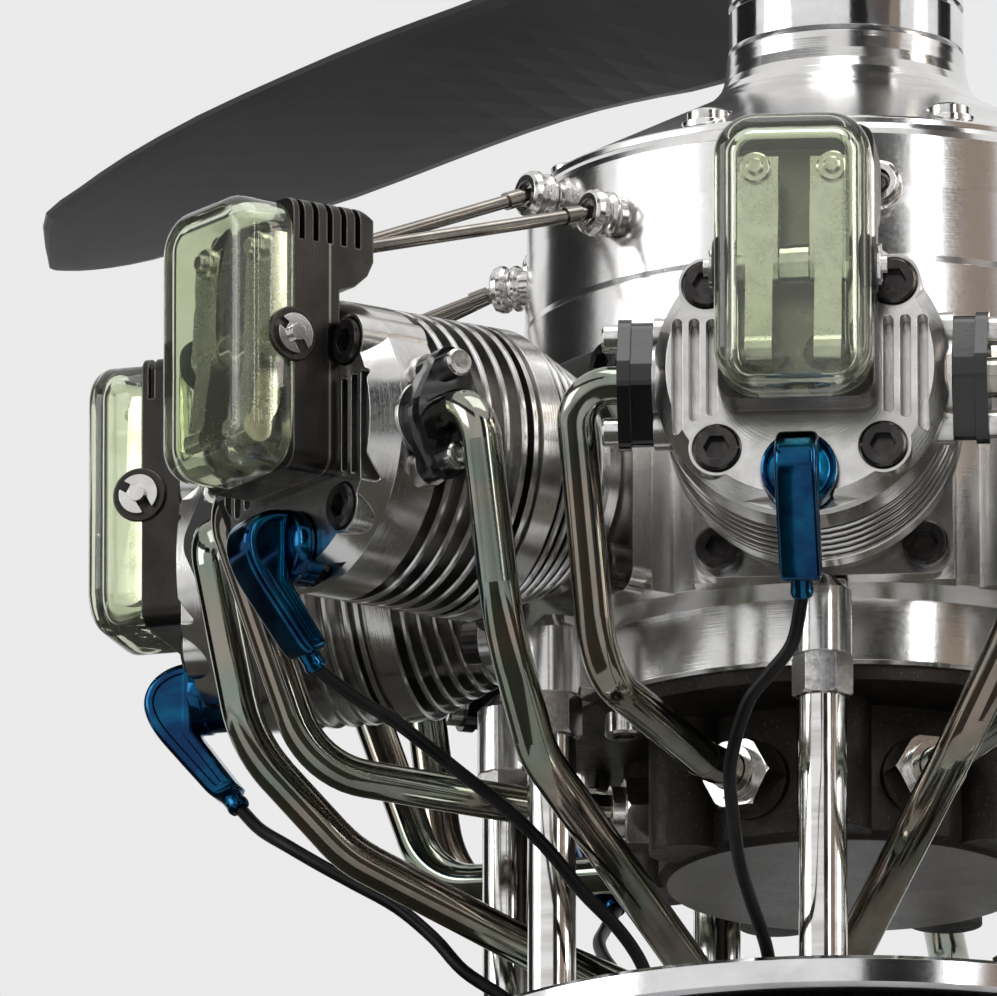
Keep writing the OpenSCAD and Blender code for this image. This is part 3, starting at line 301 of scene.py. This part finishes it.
def cast_dark():
    """Dark sand-cast alloy with an oily brown cast, machined pale on its lowest face."""
    g = graph("cast_dark")
    sand = g.noise(g.place(), 900.0, 4.0, 0.7)
    cloud = g.noise(g.place(), 55.0, 4.0, 0.6, 0.6)
    colour = g.patches(cloud, 0.35, 0.68, (0.034, 0.027, 0.021), (0.016, 0.013, 0.011))
    speck = g.ramp(g.noise(g.place(), 2300.0, 2.0), (0.66, 0.0), (0.74, 1.0))
    colour = g.mix(g.math("MULTIPLY", speck, 0.5), colour, (0.30, 0.26, 0.22))
    colour = g.mix(g.math("LESS_THAN", g.axes()[2], DISC_Z), colour, (0.27, 0.265, 0.26))
    rough = g.wear(sand, cloud, 0.7, 1.3, 0.34, 0.6)
    return g.surface({"Base Color": colour, "Metallic": 0.55, "Roughness": rough}, sand, 0.5, 0.0003, 0.0004)


def resin():
    """Clear cast resin of a faint yellow-green, with flow marks and small pale pinholes."""
    g = graph("resin")
    flow = g.noise(g.scaled(g.place(), (90.0, 90.0, 40.0)), 1.0, 3.0, 0.5, 1.2)
    haze = g.noise(g.place(), 60.0, 3.0)
    colour = g.patches(haze, 0.3, 0.7, (0.86, 0.90, 0.76), (0.78, 0.83, 0.64))
    pin = g.ramp(g.noise(g.place(), 1500.0, 2.0), (0.71, 0.0), (0.76, 1.0))
    colour = g.mix(g.math("MULTIPLY", pin, 0.5), colour, (0.97, 0.98, 0.93))
    rough = g.wear(flow, haze, 0.8, 1.3, 0.01, 0.05)
    return g.surface({"Base Color": colour, "Metallic": 0.0, "Roughness": rough, "IOR": 1.47,
                      "Transmission Weight": 0.965}, flow, 0.10, 0.0004)


def blue_metallic():
    g = graph("blue_metallic")
    flake = g.noise(g.place(), 2600.0, 2.0, 0.7)
    cloud = g.noise(g.place(), 110.0, 3.0, 0.5, 0.6)
    colour = g.patches(cloud, 0.38, 0.66, (0.000, 0.022, 0.090), (0.000, 0.095, 0.205))
    colour = g.mix(g.math("MULTIPLY", flake, 0.06), colour, (0.01, 0.26, 0.46))
    rough = g.wear(flake, cloud, 0.7, 1.3, 0.09, 0.20)
    return g.surface({"Base Color": colour, "Metallic": 1.0, "Roughness": rough, "Coat Weight": 0.25,
                      "Coat Roughness": 0.04}, cloud, 0.10, 0.0003, 0.0004)


def rubber():
    g = graph("rubber")
    grain = g.noise(g.place(), 1700.0, 3.0, 0.6)
    bloom = g.noise(g.place(), 90.0, 3.0)
    colour = g.patches(bloom, 0.4, 0.7, (0.004, 0.004, 0.0045), (0.012, 0.012, 0.012))
    rough = g.wear(grain, bloom, 0.7, 1.3, 0.30, 0.5)
    return g.surface({"Base Color": colour, "Metallic": 0.0, "Roughness": rough, "Specular IOR Level": 0.16},
                     grain, 0.25, 0.0001)


def blade_grey():
    """Charcoal composite with a fine weave in its satin surface and a pale grain."""
    g = graph("blade_grey")
    threads = (g.add("TexWave", {"Vector": g.place(), "Scale": 420.0, "Distortion": 0.6}, wave_type="BANDS",
                     bands_direction=axis).outputs[1] for axis in "XY")
    weave = g.math("MULTIPLY", *threads)
    cloud = g.noise(g.place(), 14.0, 4.0, 0.6)
    grain = g.noise(g.place(), 1500.0, 3.0, 0.7)
    colour = g.patches(cloud, 0.35, 0.7, (0.030, 0.031, 0.032), (0.044, 0.044, 0.045))
    colour = g.mix(g.math("MULTIPLY", grain, 0.35), colour, (0.066, 0.067, 0.068))
    rough = g.wear(grain, cloud, 0.7, 1.3, 0.28, 0.42)
    return g.surface({"Base Color": colour, "Metallic": 0.0, "Roughness": rough, "Specular IOR Level": 0.6},
                     g.math("ADD", weave, grain), 0.06, 0.0001)


def plug_parts():
    """Steel hexagon and thread, with a white glazed insulator further out."""
    g = graph("plug_parts")
    along = g.cylinder()[1]
    grain = g.noise(g.place(), 1200.0, 3.0)
    stain = g.noise(g.place(), 240.0, 3.0)
    ceramic = g.math("GREATER_THAN", along, CERAMIC_START)
    steel = g.mix(stain, (0.70, 0.69, 0.67), (0.42, 0.40, 0.37))
    colour = g.mix(ceramic, steel, (0.80, 0.79, 0.76))
    rough = g.wear(grain, stain, 0.7, 1.3, 0.15, 0.35)
    return g.surface({"Base Color": colour, "Metallic": g.math("SUBTRACT", 1.0, ceramic), "Roughness": rough},
                     grain, 0.2, 0.0001, 0.0002)


STEEL = metal("polished_steel", (0.86, 0.86, 0.87), (0.70, 0.70, 0.71), (0.05, 0.16), 60.0, Graph.turned,
              0.12)
DRAWN = drawn_steel()
ALLOY = metal("turned_alloy", (0.89, 0.88, 0.87), (0.68, 0.67, 0.66), (0.11, 0.23), 38.0, Graph.turned, 0.5)
# Heads and gear steel get painted shade in their corners, between fins and in gaps.
HEAD = metal("head_alloy", (0.80, 0.79, 0.78), (0.55, 0.54, 0.52), (0.12, 0.27), 70.0, Graph.cylinder, 0.6,
             painted_shade=(0.26, 0.24, 0.22), shade_reach=0.0015)
SCREW = metal("screw_steel", (0.86, 0.85, 0.84), (0.55, 0.53, 0.50), (0.10, 0.24), 300.0)
GEAR = metal("gear_steel", (0.66, 0.65, 0.63), (0.42, 0.40, 0.38), (0.16, 0.32), 120.0,
             painted_shade=(0.07, 0.05, 0.03))
CLIP = metal("clip_steel", (0.84, 0.83, 0.82), (0.66, 0.65, 0.63), (0.08, 0.18), 110.0, line_depth=0.1)
PUSHROD = metal("pushrod_steel", (0.34, 0.31, 0.28), (0.20, 0.18, 0.16), (0.10, 0.22), 55.0, line_depth=0.1,
                edge=0.0)
ROCKER = metal("rocker_steel", (0.88, 0.87, 0.85), (0.66, 0.65, 0.63), (0.20, 0.32), 120.0, line_depth=0.05,
               edge=0.0)
DARK_STEEL = metal("dark_steel", (0.15, 0.14, 0.13), (0.07, 0.065, 0.06), (0.16, 0.34), 260.0)
BRONZE = bronze_metal()
OXIDE = black_oxide()
GLOSS = black_gloss()
CAST = cast_dark()
RESIN = resin()
BLUE = blue_metallic()
RUBBER = rubber()
BLADE = blade_grey()
PLUG = plug_parts()

# Material of each node but the single rockers and valves, which the loop below dresses
FINISH = {
    "mount_ring": STEEL, "standoff_rods": DRAWN, "standoff_nuts": SCREW, "crankcase": ALLOY,
    "cam_case": ALLOY, "nose_cover": ALLOY, "silver_screws": SCREW, "black_screws": OXIDE,
    "main_bearings": STEEL, "cylinders": HEAD, "heads": HEAD, "rocker_boxes": BRONZE,
    "rocker_covers": RESIN, "rocker_pins": CLIP, "port_flanges": GLOSS,
    "exhaust_pipes": pipe_metal("exhaust_metal", 0.0), "intake_pipes": pipe_metal("intake_metal", -0.06),
    "gland_nuts": SCREW, "induction_housing": CAST, "spark_plugs": PLUG, "plug_caps": BLUE,
    "ignition_leads": RUBBER, "tappet_guides": SCREW, "pushrods": PUSHROD, "valve_springs": DARK_STEEL,
    "pistons": ALLOY, "crankshaft": STEEL, "prop_driver": STEEL, "propeller": BLADE, "prop_fasteners": SCREW,
    "reduction_gear": GEAR, "cam_ring": GEAR,
}


def dress(thing, material):
    thing.data.materials.clear()
    thing.data.materials.append(material)


for node_name, node in NODES.items():
    dress(node, FINISH.get(node_name) or (ROCKER if node_name.startswith("rocker_") else DARK_STEEL))


# Pieces, in millimetres
def place_piece(name, data, body, material):
    piece = add_object(name, data)
    dress(piece, material)
    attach(piece, body)
    return piece


def finished_mesh(bm, name, matrix, sharp):
    """Mesh of bm moved by matrix, smooth but for edges over sharp degrees, or all over if sharp is None."""
    bmesh.ops.recalc_face_normals(bm, faces=bm.faces)
    mesh = bpy.data.meshes.new(name)
    bm.to_mesh(mesh)
    bm.free()
    mesh.transform(matrix)
    mesh.shade_smooth()
    if sharp is not None:
        mesh.set_sharp_from_angle(angle=math.radians(sharp))
    return mesh


def turned_mesh(name, matrix, profile, sides=32):
    """Mesh turned from (radius, height) pairs about the matrix's z axis."""
    bm = bmesh.new()
    angles = [2 * math.pi * i / sides for i in range(sides)]
    rings = []
    for radius, height in profile:
        directions = [(math.cos(a), math.sin(a)) for a in angles] if radius else [(0, 0)]
        rings.append([bm.verts.new(Vector((radius * x, radius * y, height)) * MM) for x, y in directions])
    for a, b in zip(rings, rings[1:]):
        for i in range(sides):
            j = (i + 1) % sides
            bottom = [a[i], a[j]] if len(a) > 1 else a
            top = [b[j], b[i]] if len(b) > 1 else b
            bm.faces.new(bottom + top)
    return finished_mesh(bm, name, matrix, sharp=32)


def loop_mesh(name, matrix, loops, sharp):
    """Mesh skinned over loops of equally many points, its ends filled."""
    bm = bmesh.new()
    rings = [[bm.verts.new(Vector(p) * MM) for p in loop] for loop in loops]
    n = len(rings[0])
    for a, b in zip(rings, rings[1:]):
        for i in range(n):
            j = (i + 1) % n
            bm.faces.new((a[i], a[j], b[j], b[i]))
    bm.faces.new(rings[0][::-1])
    bm.faces.new(rings[-1])
    return finished_mesh(bm, name, matrix, sharp)


def smooth_points(points, steps):
    """Catmull-Rom points through the given ones, with so many steps between two of them."""
    padded = [points[0] * 2 - points[1], *points, points[-1] * 2 - points[-2]]
    out = []
    for i in range(1, len(padded) - 2):
        p0, p1, p2, p3 = padded[i - 1:i + 3]
        for s in range(steps):
            t = s / steps
            out.append(0.5 * (2 * p1 + (p2 - p0) * t + (2 * p0 - 5 * p1 + 4 * p2 - p3) * t * t
                              + (3 * p1 - p0 - 3 * p2 + p3) * t ** 3))
    return out + [points[-1]]


# Ignition leads: the points of part.scad (across, height, outward), for the first cylinder and the others
LEAD_A = [(0, 76.4, 142.2), (-2.5, 66.8, 138), (-8, 60.5, 135), (-13, 54.6, 132), (-17.2, 43, 124),
          (-17.3, 34, 114), (-16.8, 27, 102), (-15.4, 21.8, 90), (-14.2, 18.6, 80), (-13.3, 16, 72.4),
          (-12.8, 12.8, 67.6), (-12.6, 8.6, 65.5), (-12.6, 4, 65.3)]
LEAD_B = [(0, 76.4, 142.2), (5, 70, 136), (9.5, 64.6, 128.4), (11.6, 59, 120), (12.6, 54, 112),
          (14.4, 47, 101), (16.6, 38.5, 91.5), (18.4, 30, 84), (18.4, 23.4, 75), (17.6, 17.8, 68.8),
          (17, 12.8, 65.6), (16.8, 8.4, 64.4), (16.8, 4, 64.3)]
LEAD_D = 0.003  # metres
# Socket at a lead's foot, as (radius, height above the ring's underside)
SOCKET = [(0, 0.8), (2.0, 0.8), (2.4, 1.2), (2.4, 7.0), (2.2, 7.2), (2.2, 7.6), (2.4, 7.8), (2.4, 8.4),
          (2.0, 8.8), (1.55, 8.8), (1.55, 4)]


def lead_curve(name, route):
    curve = bpy.data.curves.new(name, "CURVE")
    curve.dimensions = "3D"
    curve.bevel_depth, curve.bevel_resolution, curve.use_fill_caps = LEAD_D / 2, 5, True
    spline = curve.splines.new("POLY")
    spline.points.add(len(route) - 1)
    for point, place in zip(spline.points, route):
        point.co = (*place, 1)
    spline.use_smooth = True
    return curve


for k in range(CYLINDERS):
    points = LEAD_A if k == 0 else LEAD_B
    route = smooth_points([local(k, p) for p in points], steps=5)
    lead = place_piece(f"lead_{k}", lead_curve(f"lead_{k}", route), "engine", RUBBER)
    across, reach = points[-1][0], points[-1][2]
    foot = Matrix.Translation(local(k, (across, 0, reach))) @ Matrix.Rotation(-PITCH * k, 4, "Z")
    stem = turned_mesh(f"socket_{k}", foot, SOCKET)
    socket = place_piece(f"socket_{k}", stem, "engine", DARK_STEEL)
    for piece in (lead, socket):
        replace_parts(piece, "ignition_leads")


# Rocker covers: cast shells with rounded edges and corners, inside and outside
COVER_W, COVER_H, COVER_WALL = 34.6, 62.1, 3.3
COVER_MID = 147.55  # height of the cover's middle
RIM, FACE = 160.12, 173.9  # outward reach of its rim and of its outer face
CORNER, CORNER_IN = 9.4, 5.6  # radii of the outline's corners, outside and inside
EDGE, EDGE_IN = 4.8, 3.2  # radii of the edges round the outer face, outside and inside
LIP, LIP_RISE = 0.25, 0.4  # bevel of the rim


def quarter(steps):
    """Points (inset, drop) of a rounded edge, as shares of its radius, from the face to the side."""
    angles = [math.pi / 2 * (1 - i / steps) for i in range(steps + 1)]
    return [(1 - math.cos(a), 1 - math.sin(a)) for a in angles]


def rounded_loop(w, h, r, z, steps=9):
    """Rounded rectangle of the given size and corner radius at height z."""
    points = []
    for cx, cy, start in ((1, 1, 0), (-1, 1, 90), (-1, -1, 180), (1, -1, 270)):
        for i in range(steps + 1):
            a = math.radians(start + 90 * i / steps)
            points.append((cx * (w / 2 - r) + r * math.cos(a), cy * (h / 2 - r) + r * math.sin(a), z))
    return points


def cover_loops():
    """Loops from the outer face down the outside, round the rim and up the inside."""
    def loop(inset, corner, z):
        return rounded_loop(COVER_W - 2 * inset, COVER_H - 2 * inset, corner, z)

    loops = [loop(EDGE * inset, CORNER - EDGE * inset, FACE - EDGE * drop) for inset, drop in quarter(8)]
    loops.append(loop(0, CORNER, RIM + LIP_RISE))
    loops.append(loop(LIP, CORNER - LIP, RIM))
    loops.append(loop(COVER_WALL - LIP, CORNER_IN + LIP, RIM))
    loops.append(loop(COVER_WALL, CORNER_IN, RIM + LIP_RISE))
    for inset, drop in reversed(quarter(6)):
        loops.append(loop(COVER_WALL + EDGE_IN * inset, CORNER_IN - EDGE_IN * inset,
                          FACE - COVER_WALL - EDGE_IN * drop))
    return loops


for k in range(CYLINDERS):
    shell = loop_mesh(f"cover_{k}", spoke(k, COVER_MID * MM), cover_loops(), sharp=50)
    cover = place_piece(f"cover_{k}", shell, "engine", RESIN)
    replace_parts(cover, "rocker_covers")


# Plug caps: a boot over the plug, a rounded fin with a recessed panel on each side, and a cable sleeve
HEAD_FACE, WELL_Z = 148.0, 102.8  # where the outline's points (outward, height) are counted from
CAP_OUTER = [(4, 7.4), (7, 7.4), (10.6, 6.4), (13.6, 4.4), (15.4, 1.8), (16, -1.4), (15, -5.2), (12.6, -9.2),
             (8.8, -13.8), (4, -19.4), (0.4, -23.4), (-2, -24.2), (-5, -22.6), (-5.8, -21.2)]
CAP_INNER = [(-5.8, -21.2), (-2.2, -16.4), (1.4, -11.6), (4, -8.2)]
CAP_BACK = [(4, -4), (4, 0), (4, 4)]
CAP_TAIL = (0, WELL_Z - 21.2, HEAD_FACE - 2)  # where the sleeve starts (across, height, outward)
CAP_W, FIN_EDGE = 9.3, 1.5
MITRE_LIMIT = 0.6  # least divisor of the inset at a sharp corner, which would move too far otherwise
PANEL = [(2.9, 0.55), (2.6, 0.5), (2.35, 0)]  # (inset, depth) of the recessed panel's steps
# Boot (radius, outward reach) and sleeve (radius, distance along it)
BOOT = [(0, 144.4), (7.7, 144.4), (8.1, 144.8), (8.1, 149.0), (8.5, 149.6), (8.5, 151.6), (8.3, 152.2),
        (7.8, 152.5), (7.3, 152.2), (7.0, 151.5), (6.4, 151.7), (5.0, 152.6), (3.0, 153.1), (0, 153.3)]
SLEEVE = [(0, -1.5), (2.3, -1.5), (2.75, -0.6), (2.75, 0.9), (2.5, 1.3), (2.45, 4.6), (2.6, 4.9), (2.6, 5.8),
          (2.3, 6.44), (1.6, 6.44), (1.5, 5.4), (0, 5.4)]


def fin_outline():
    outer, inner = (smooth_points([Vector(p) for p in side], steps=3) for side in (CAP_OUTER, CAP_INNER))
    return outer + inner[1:] + [Vector(p) for p in CAP_BACK]


def inset_outline(outline, inset):
    """Outline moved inwards by inset along the mean normals of its corners."""
    out = []
    n = len(outline)
    for i in range(n):
        a, b, c = outline[i - 1], outline[i], outline[(i + 1) % n]
        u, v = (b - a).normalized(), (c - b).normalized()
        along = (u + v).normalized()
        normal = Vector((along.y, -along.x))
        out.append(b + normal * inset / max(MITRE_LIMIT, along.dot(u)))
    return out


def fin_loops():
    """Loops across the fin: panel, rounded edge, flat side, rounded edge, panel; the outline is clockwise."""
    outline = fin_outline()
    levels = [(inset, CAP_W / 2 - depth) for inset, depth in PANEL]
    levels += [(FIN_EDGE * inset, CAP_W / 2 - FIN_EDGE * drop) for inset, drop in quarter(5)]
    levels += [(inset, -x) for inset, x in reversed(levels)]
    return [[(x, WELL_Z + p.y, HEAD_FACE + p.x) for p in inset_outline(outline, inset)]
            for inset, x in levels]


for k in range(CYLINDERS):
    tail, exit_point = local(k, CAP_TAIL), local(k, LEAD_A[0])
    sleeve_axis = Matrix.Translation(tail) @ (exit_point - tail).to_track_quat("Z", "Y").to_matrix().to_4x4()
    boot, fin, sleeve = f"cap_boot_{k}", f"cap_fin_{k}", f"cap_sleeve_{k}"
    for name, mesh in ((boot, turned_mesh(boot, spoke(k, WELL_Z * MM), BOOT, sides=40)),
                       (fin, loop_mesh(fin, spoke(k, 0), fin_loops(), sharp=35)),
                       (sleeve, turned_mesh(sleeve, sleeve_axis, SLEEVE, sides=28))):
        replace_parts(place_piece(name, mesh, "engine", BLUE), "plug_caps")


# Valve gear: open wire springs where part.scad has sleeves, bosses round the pins, adjusters on the rockers
VALVE_T, VALVE_Y = 7.6, -1.5  # valve axes: across, and from the height of the cylinder's axis
SPRING_R, WIRE_R, TURNS = 4.7, 0.62, 4.2
SPRING_FOOT, SPRING_TOP = 148.75, 157.9  # outward reach of the spring's ends
CLOSER = 0.05  # furthest shift of a turn towards its nearer end, as a share of the spring's length
PIN_Z, PIN_R = 146.3, 160.5  # the rocker pin's height and outward reach
# Boss round the pin on the housing's side, as (radius, reach across)
BOSS = [(1.95, 17.1), (6.0, 17.1), (6.2, 17.3), (6.2, 17.8), (5.9, 18.05), (2.2, 18.05), (1.95, 17.9)]
ROCKER_T, ADJUSTER_Z = 8.5, 167.2  # the adjusters' axes: across, and height
# Adjusting screw and its lock nut, as (radius, outward reach)
ADJUSTER = [(0, 163.4), (3.1, 163.4), (3.5, 163.8), (3.5, 165.4), (3.1, 165.8), (1.9, 165.8), (1.9, 166.7),
            (1.5, 167.1), (0, 167.1)]


def spring_loops(steps=96, sides=8):
    """Circles of wire along the coil, whose end turns lie closer than the middle ones."""
    outward = Vector((0, 0, 1))
    loops = []
    for share in (i / steps for i in range(steps + 1)):
        a = 2 * math.pi * TURNS * share
        ease = share - CLOSER * math.sin(2 * math.pi * share)
        radial = Vector((math.cos(a), math.sin(a), 0))
        middle = radial * SPRING_R + outward * (SPRING_FOOT + (SPRING_TOP - SPRING_FOOT) * ease)
        loops.append([middle + WIRE_R * (radial * math.cos(b) + outward * math.sin(b))
                      for b in (2 * math.pi * j / sides for j in range(sides))])
    return loops


for k in range(CYLINDERS):
    for kind, side in (("ex", 1), ("in", -1)):
        valve_axis = spoke(k, CYL_Z) @ Matrix.Translation((side * VALVE_T * MM, VALVE_Y * MM, 0))
        coil = loop_mesh(f"spring_{kind}_{k}", valve_axis, spring_loops(), sharp=None)
        spring = place_piece(f"spring_{kind}_{k}", coil, "engine", DARK_STEEL)
        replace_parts(spring, "valve_springs")
        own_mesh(spring)

        pin_axis = (spoke(k, PIN_Z * MM) @ Matrix.Translation((0, 0, PIN_R * MM))
                    @ Matrix.Rotation(side * math.pi / 2, 4, "Y"))
        boss = turned_mesh(f"pin_boss_{kind}_{k}", pin_axis, BOSS, sides=40)
        place_piece(f"pin_boss_{kind}_{k}", boss, "engine", BRONZE)

        screw_axis = spoke(k, 0) @ Matrix.Translation((side * ROCKER_T * MM, ADJUSTER_Z * MM, 0))
        adjuster = turned_mesh(f"adjuster_{kind}_{k}", screw_axis, ADJUSTER)
        place_piece(f"adjuster_{kind}_{k}", adjuster, f"rocker_{kind}_{k}", SCREW)


# Stage, in metres, degrees and watts
LOOK_AT = Vector((0, 0, 0.15))  # where the lamps point
FLOOR_SIDE, FLOOR_Z, GROUND_CARD_Z = 6.0, -0.0004, -0.0002
CARD_REACH = 1.3


def at(azimuth, reach, height):
    """Point at an azimuth from the camera, positive to the viewer's right, and a reach from the axis."""
    a = AZIMUTH + math.radians(azimuth)
    return Vector((reach * math.sin(a), -reach * math.cos(a), height))


def stage_piece(name, verts, faces, material, height=0.0):
    mesh = bpy.data.meshes.new(name)
    mesh.from_pydata(verts, [], faces)
    thing = add_object(name, mesh)
    thing.location.z = height
    dress(thing, material)
    return thing


def floor_material():
    """Pale matt floor, open to rays from beneath so that it never hides the engine from a low camera."""
    g = graph("floor")
    tone = g.ramp(g.noise(g.place(), 2.5, 3.0), (0.3, 0.76), (0.7, 0.80))
    rough = g.span(g.noise(g.place(), 900.0, 2.0), 0.3, 0.7, 0.55, 0.75)
    paint = g.add("BsdfPrincipled", {"Base Color": tone, "Specular IOR Level": 0.0, "Roughness": rough})
    clear = g.add("BsdfTransparent")
    under = g.add("NewGeometry").outputs["Backfacing"]
    both = g.add("MixShader", {0: under, 1: paint.outputs[0], 2: clear.outputs[0]})
    g.add("OutputMaterial", {"Surface": both.outputs[0]})
    return g.owner


def card_material(name, low, high):
    g = graph(name)
    shader = g.add("BsdfDiffuse", {"Color": g.mix(g.noise(g.place(), 3.0, 2.0), low, high)})
    g.add("OutputMaterial", {"Surface": shader.outputs[0]})
    return g.owner


half = FLOOR_SIDE / 2
stage_piece("floor", [(-half, -half, 0), (half, -half, 0), (half, half, 0), (-half, half, 0)], [(0, 1, 2, 3)],
            floor_material(), FLOOR_Z)
DARK_CARD = card_material("dark_card", (0.008, 0.008, 0.008), (0.03, 0.029, 0.028))
GROUND_CARD = card_material("ground_card", (0.015, 0.017, 0.014), (0.15, 0.14, 0.12))
WARM_CARD = card_material("warm_card", (0.20, 0.15, 0.115), (0.46, 0.37, 0.29))


def card(name, first, last, edges, material, steps):
    """Card between two azimuths and two edges (reach, height); it shows in metal and glass only."""
    verts = [at(first + (last - first) * i / steps, *edge) for i in range(steps + 1) for edge in edges]
    faces = [(2 * i, 2 * i + 1, 2 * i + 3, 2 * i + 2) for i in range(steps)]
    thing = stage_piece(name, verts, faces, material)
    thing.visible_camera = thing.visible_diffuse = thing.visible_shadow = False


# Upright cards round the engine: first and last azimuth, lower and upper height, material
for i, (first, last, low, high, tone) in enumerate((
        (-136, -99, 0.02, 1.3, DARK_CARD),
        (3, 22, 0.1, 1.2, DARK_CARD),
        (34, 54, 0.1, 1.1, WARM_CARD),
        (101, 124, 0.02, 1.3, DARK_CARD),
        (-97, -20, 0.86, 1.25, DARK_CARD),
        (56, 99, 0.86, 1.25, DARK_CARD))):
    card(f"card_{i}", first, last, ((CARD_REACH, low), (CARD_REACH, high)), tone, steps=12)

# Flat cards just above the floor: first and last azimuth, inner and outer reach
for i, (first, last, inner, outer) in enumerate((
        (-175, -78, 0.10, 0.8),
        (-52, -8, 0.13, 0.9),
        (18, 62, 0.13, 0.9),
        (95, 165, 0.10, 0.8))):
    edges = ((inner, GROUND_CARD_Z), (outer, GROUND_CARD_Z))
    card(f"ground_card_{i}", first, last, edges, GROUND_CARD, steps=16)


def softbox(name, position, size, watts, colour=(1, 1, 1)):
    """Rectangular lamp that points at the engine."""
    data = bpy.data.lights.new(name, "AREA")
    data.shape, data.size, data.size_y = "RECTANGLE", *size
    data.energy, data.color = watts, colour
    lamp = add_object(name, data)
    back = (position - LOOK_AT).normalized()
    lamp.matrix_world = Matrix.Translation(position) @ back.to_track_quat("Z", "Y").to_matrix().to_4x4()
    lamp.visible_camera = False


softbox("key", at(-72, 1.5, 0.8), (0.8, 1.0), 8.5)
softbox("top", at(20, 0.35, 1.6), (1.2, 0.9), 8)
softbox("strip", at(78, 1.25, 0.5), (0.28, 1.1), 4.5, (1.0, 0.90, 0.80))
softbox("front", at(28, 1.2, 0.55), (0.10, 0.8), 2)

# World: a cool fill on matt surfaces, and the pale backdrop that the camera, metal and glass see
FILL = {"Color": (0.95, 0.97, 1.0, 1), "Strength": 0.42}
BACKDROP = {"Color": (0.985, 0.985, 0.985, 1), "Strength": 0.84}
world = bpy.data.worlds.new("studio")
bpy.context.scene.world = world
g = Graph(world)
path = g.add("LightPath").outputs
mirrored = g.math("MAXIMUM", path["Is Glossy Ray"], path["Is Transmission Ray"])
seen = g.math("MAXIMUM", path["Is Camera Ray"], mirrored)
fill, backdrop = (g.add("Background", look).outputs[0] for look in (FILL, BACKDROP))
both = g.add("MixShader", {0: seen, 1: fill, 2: backdrop})
g.add("OutputWorld", {"Surface": both.outputs[0]})

bpy.context.scene.view_settings.view_transform = "Standard"
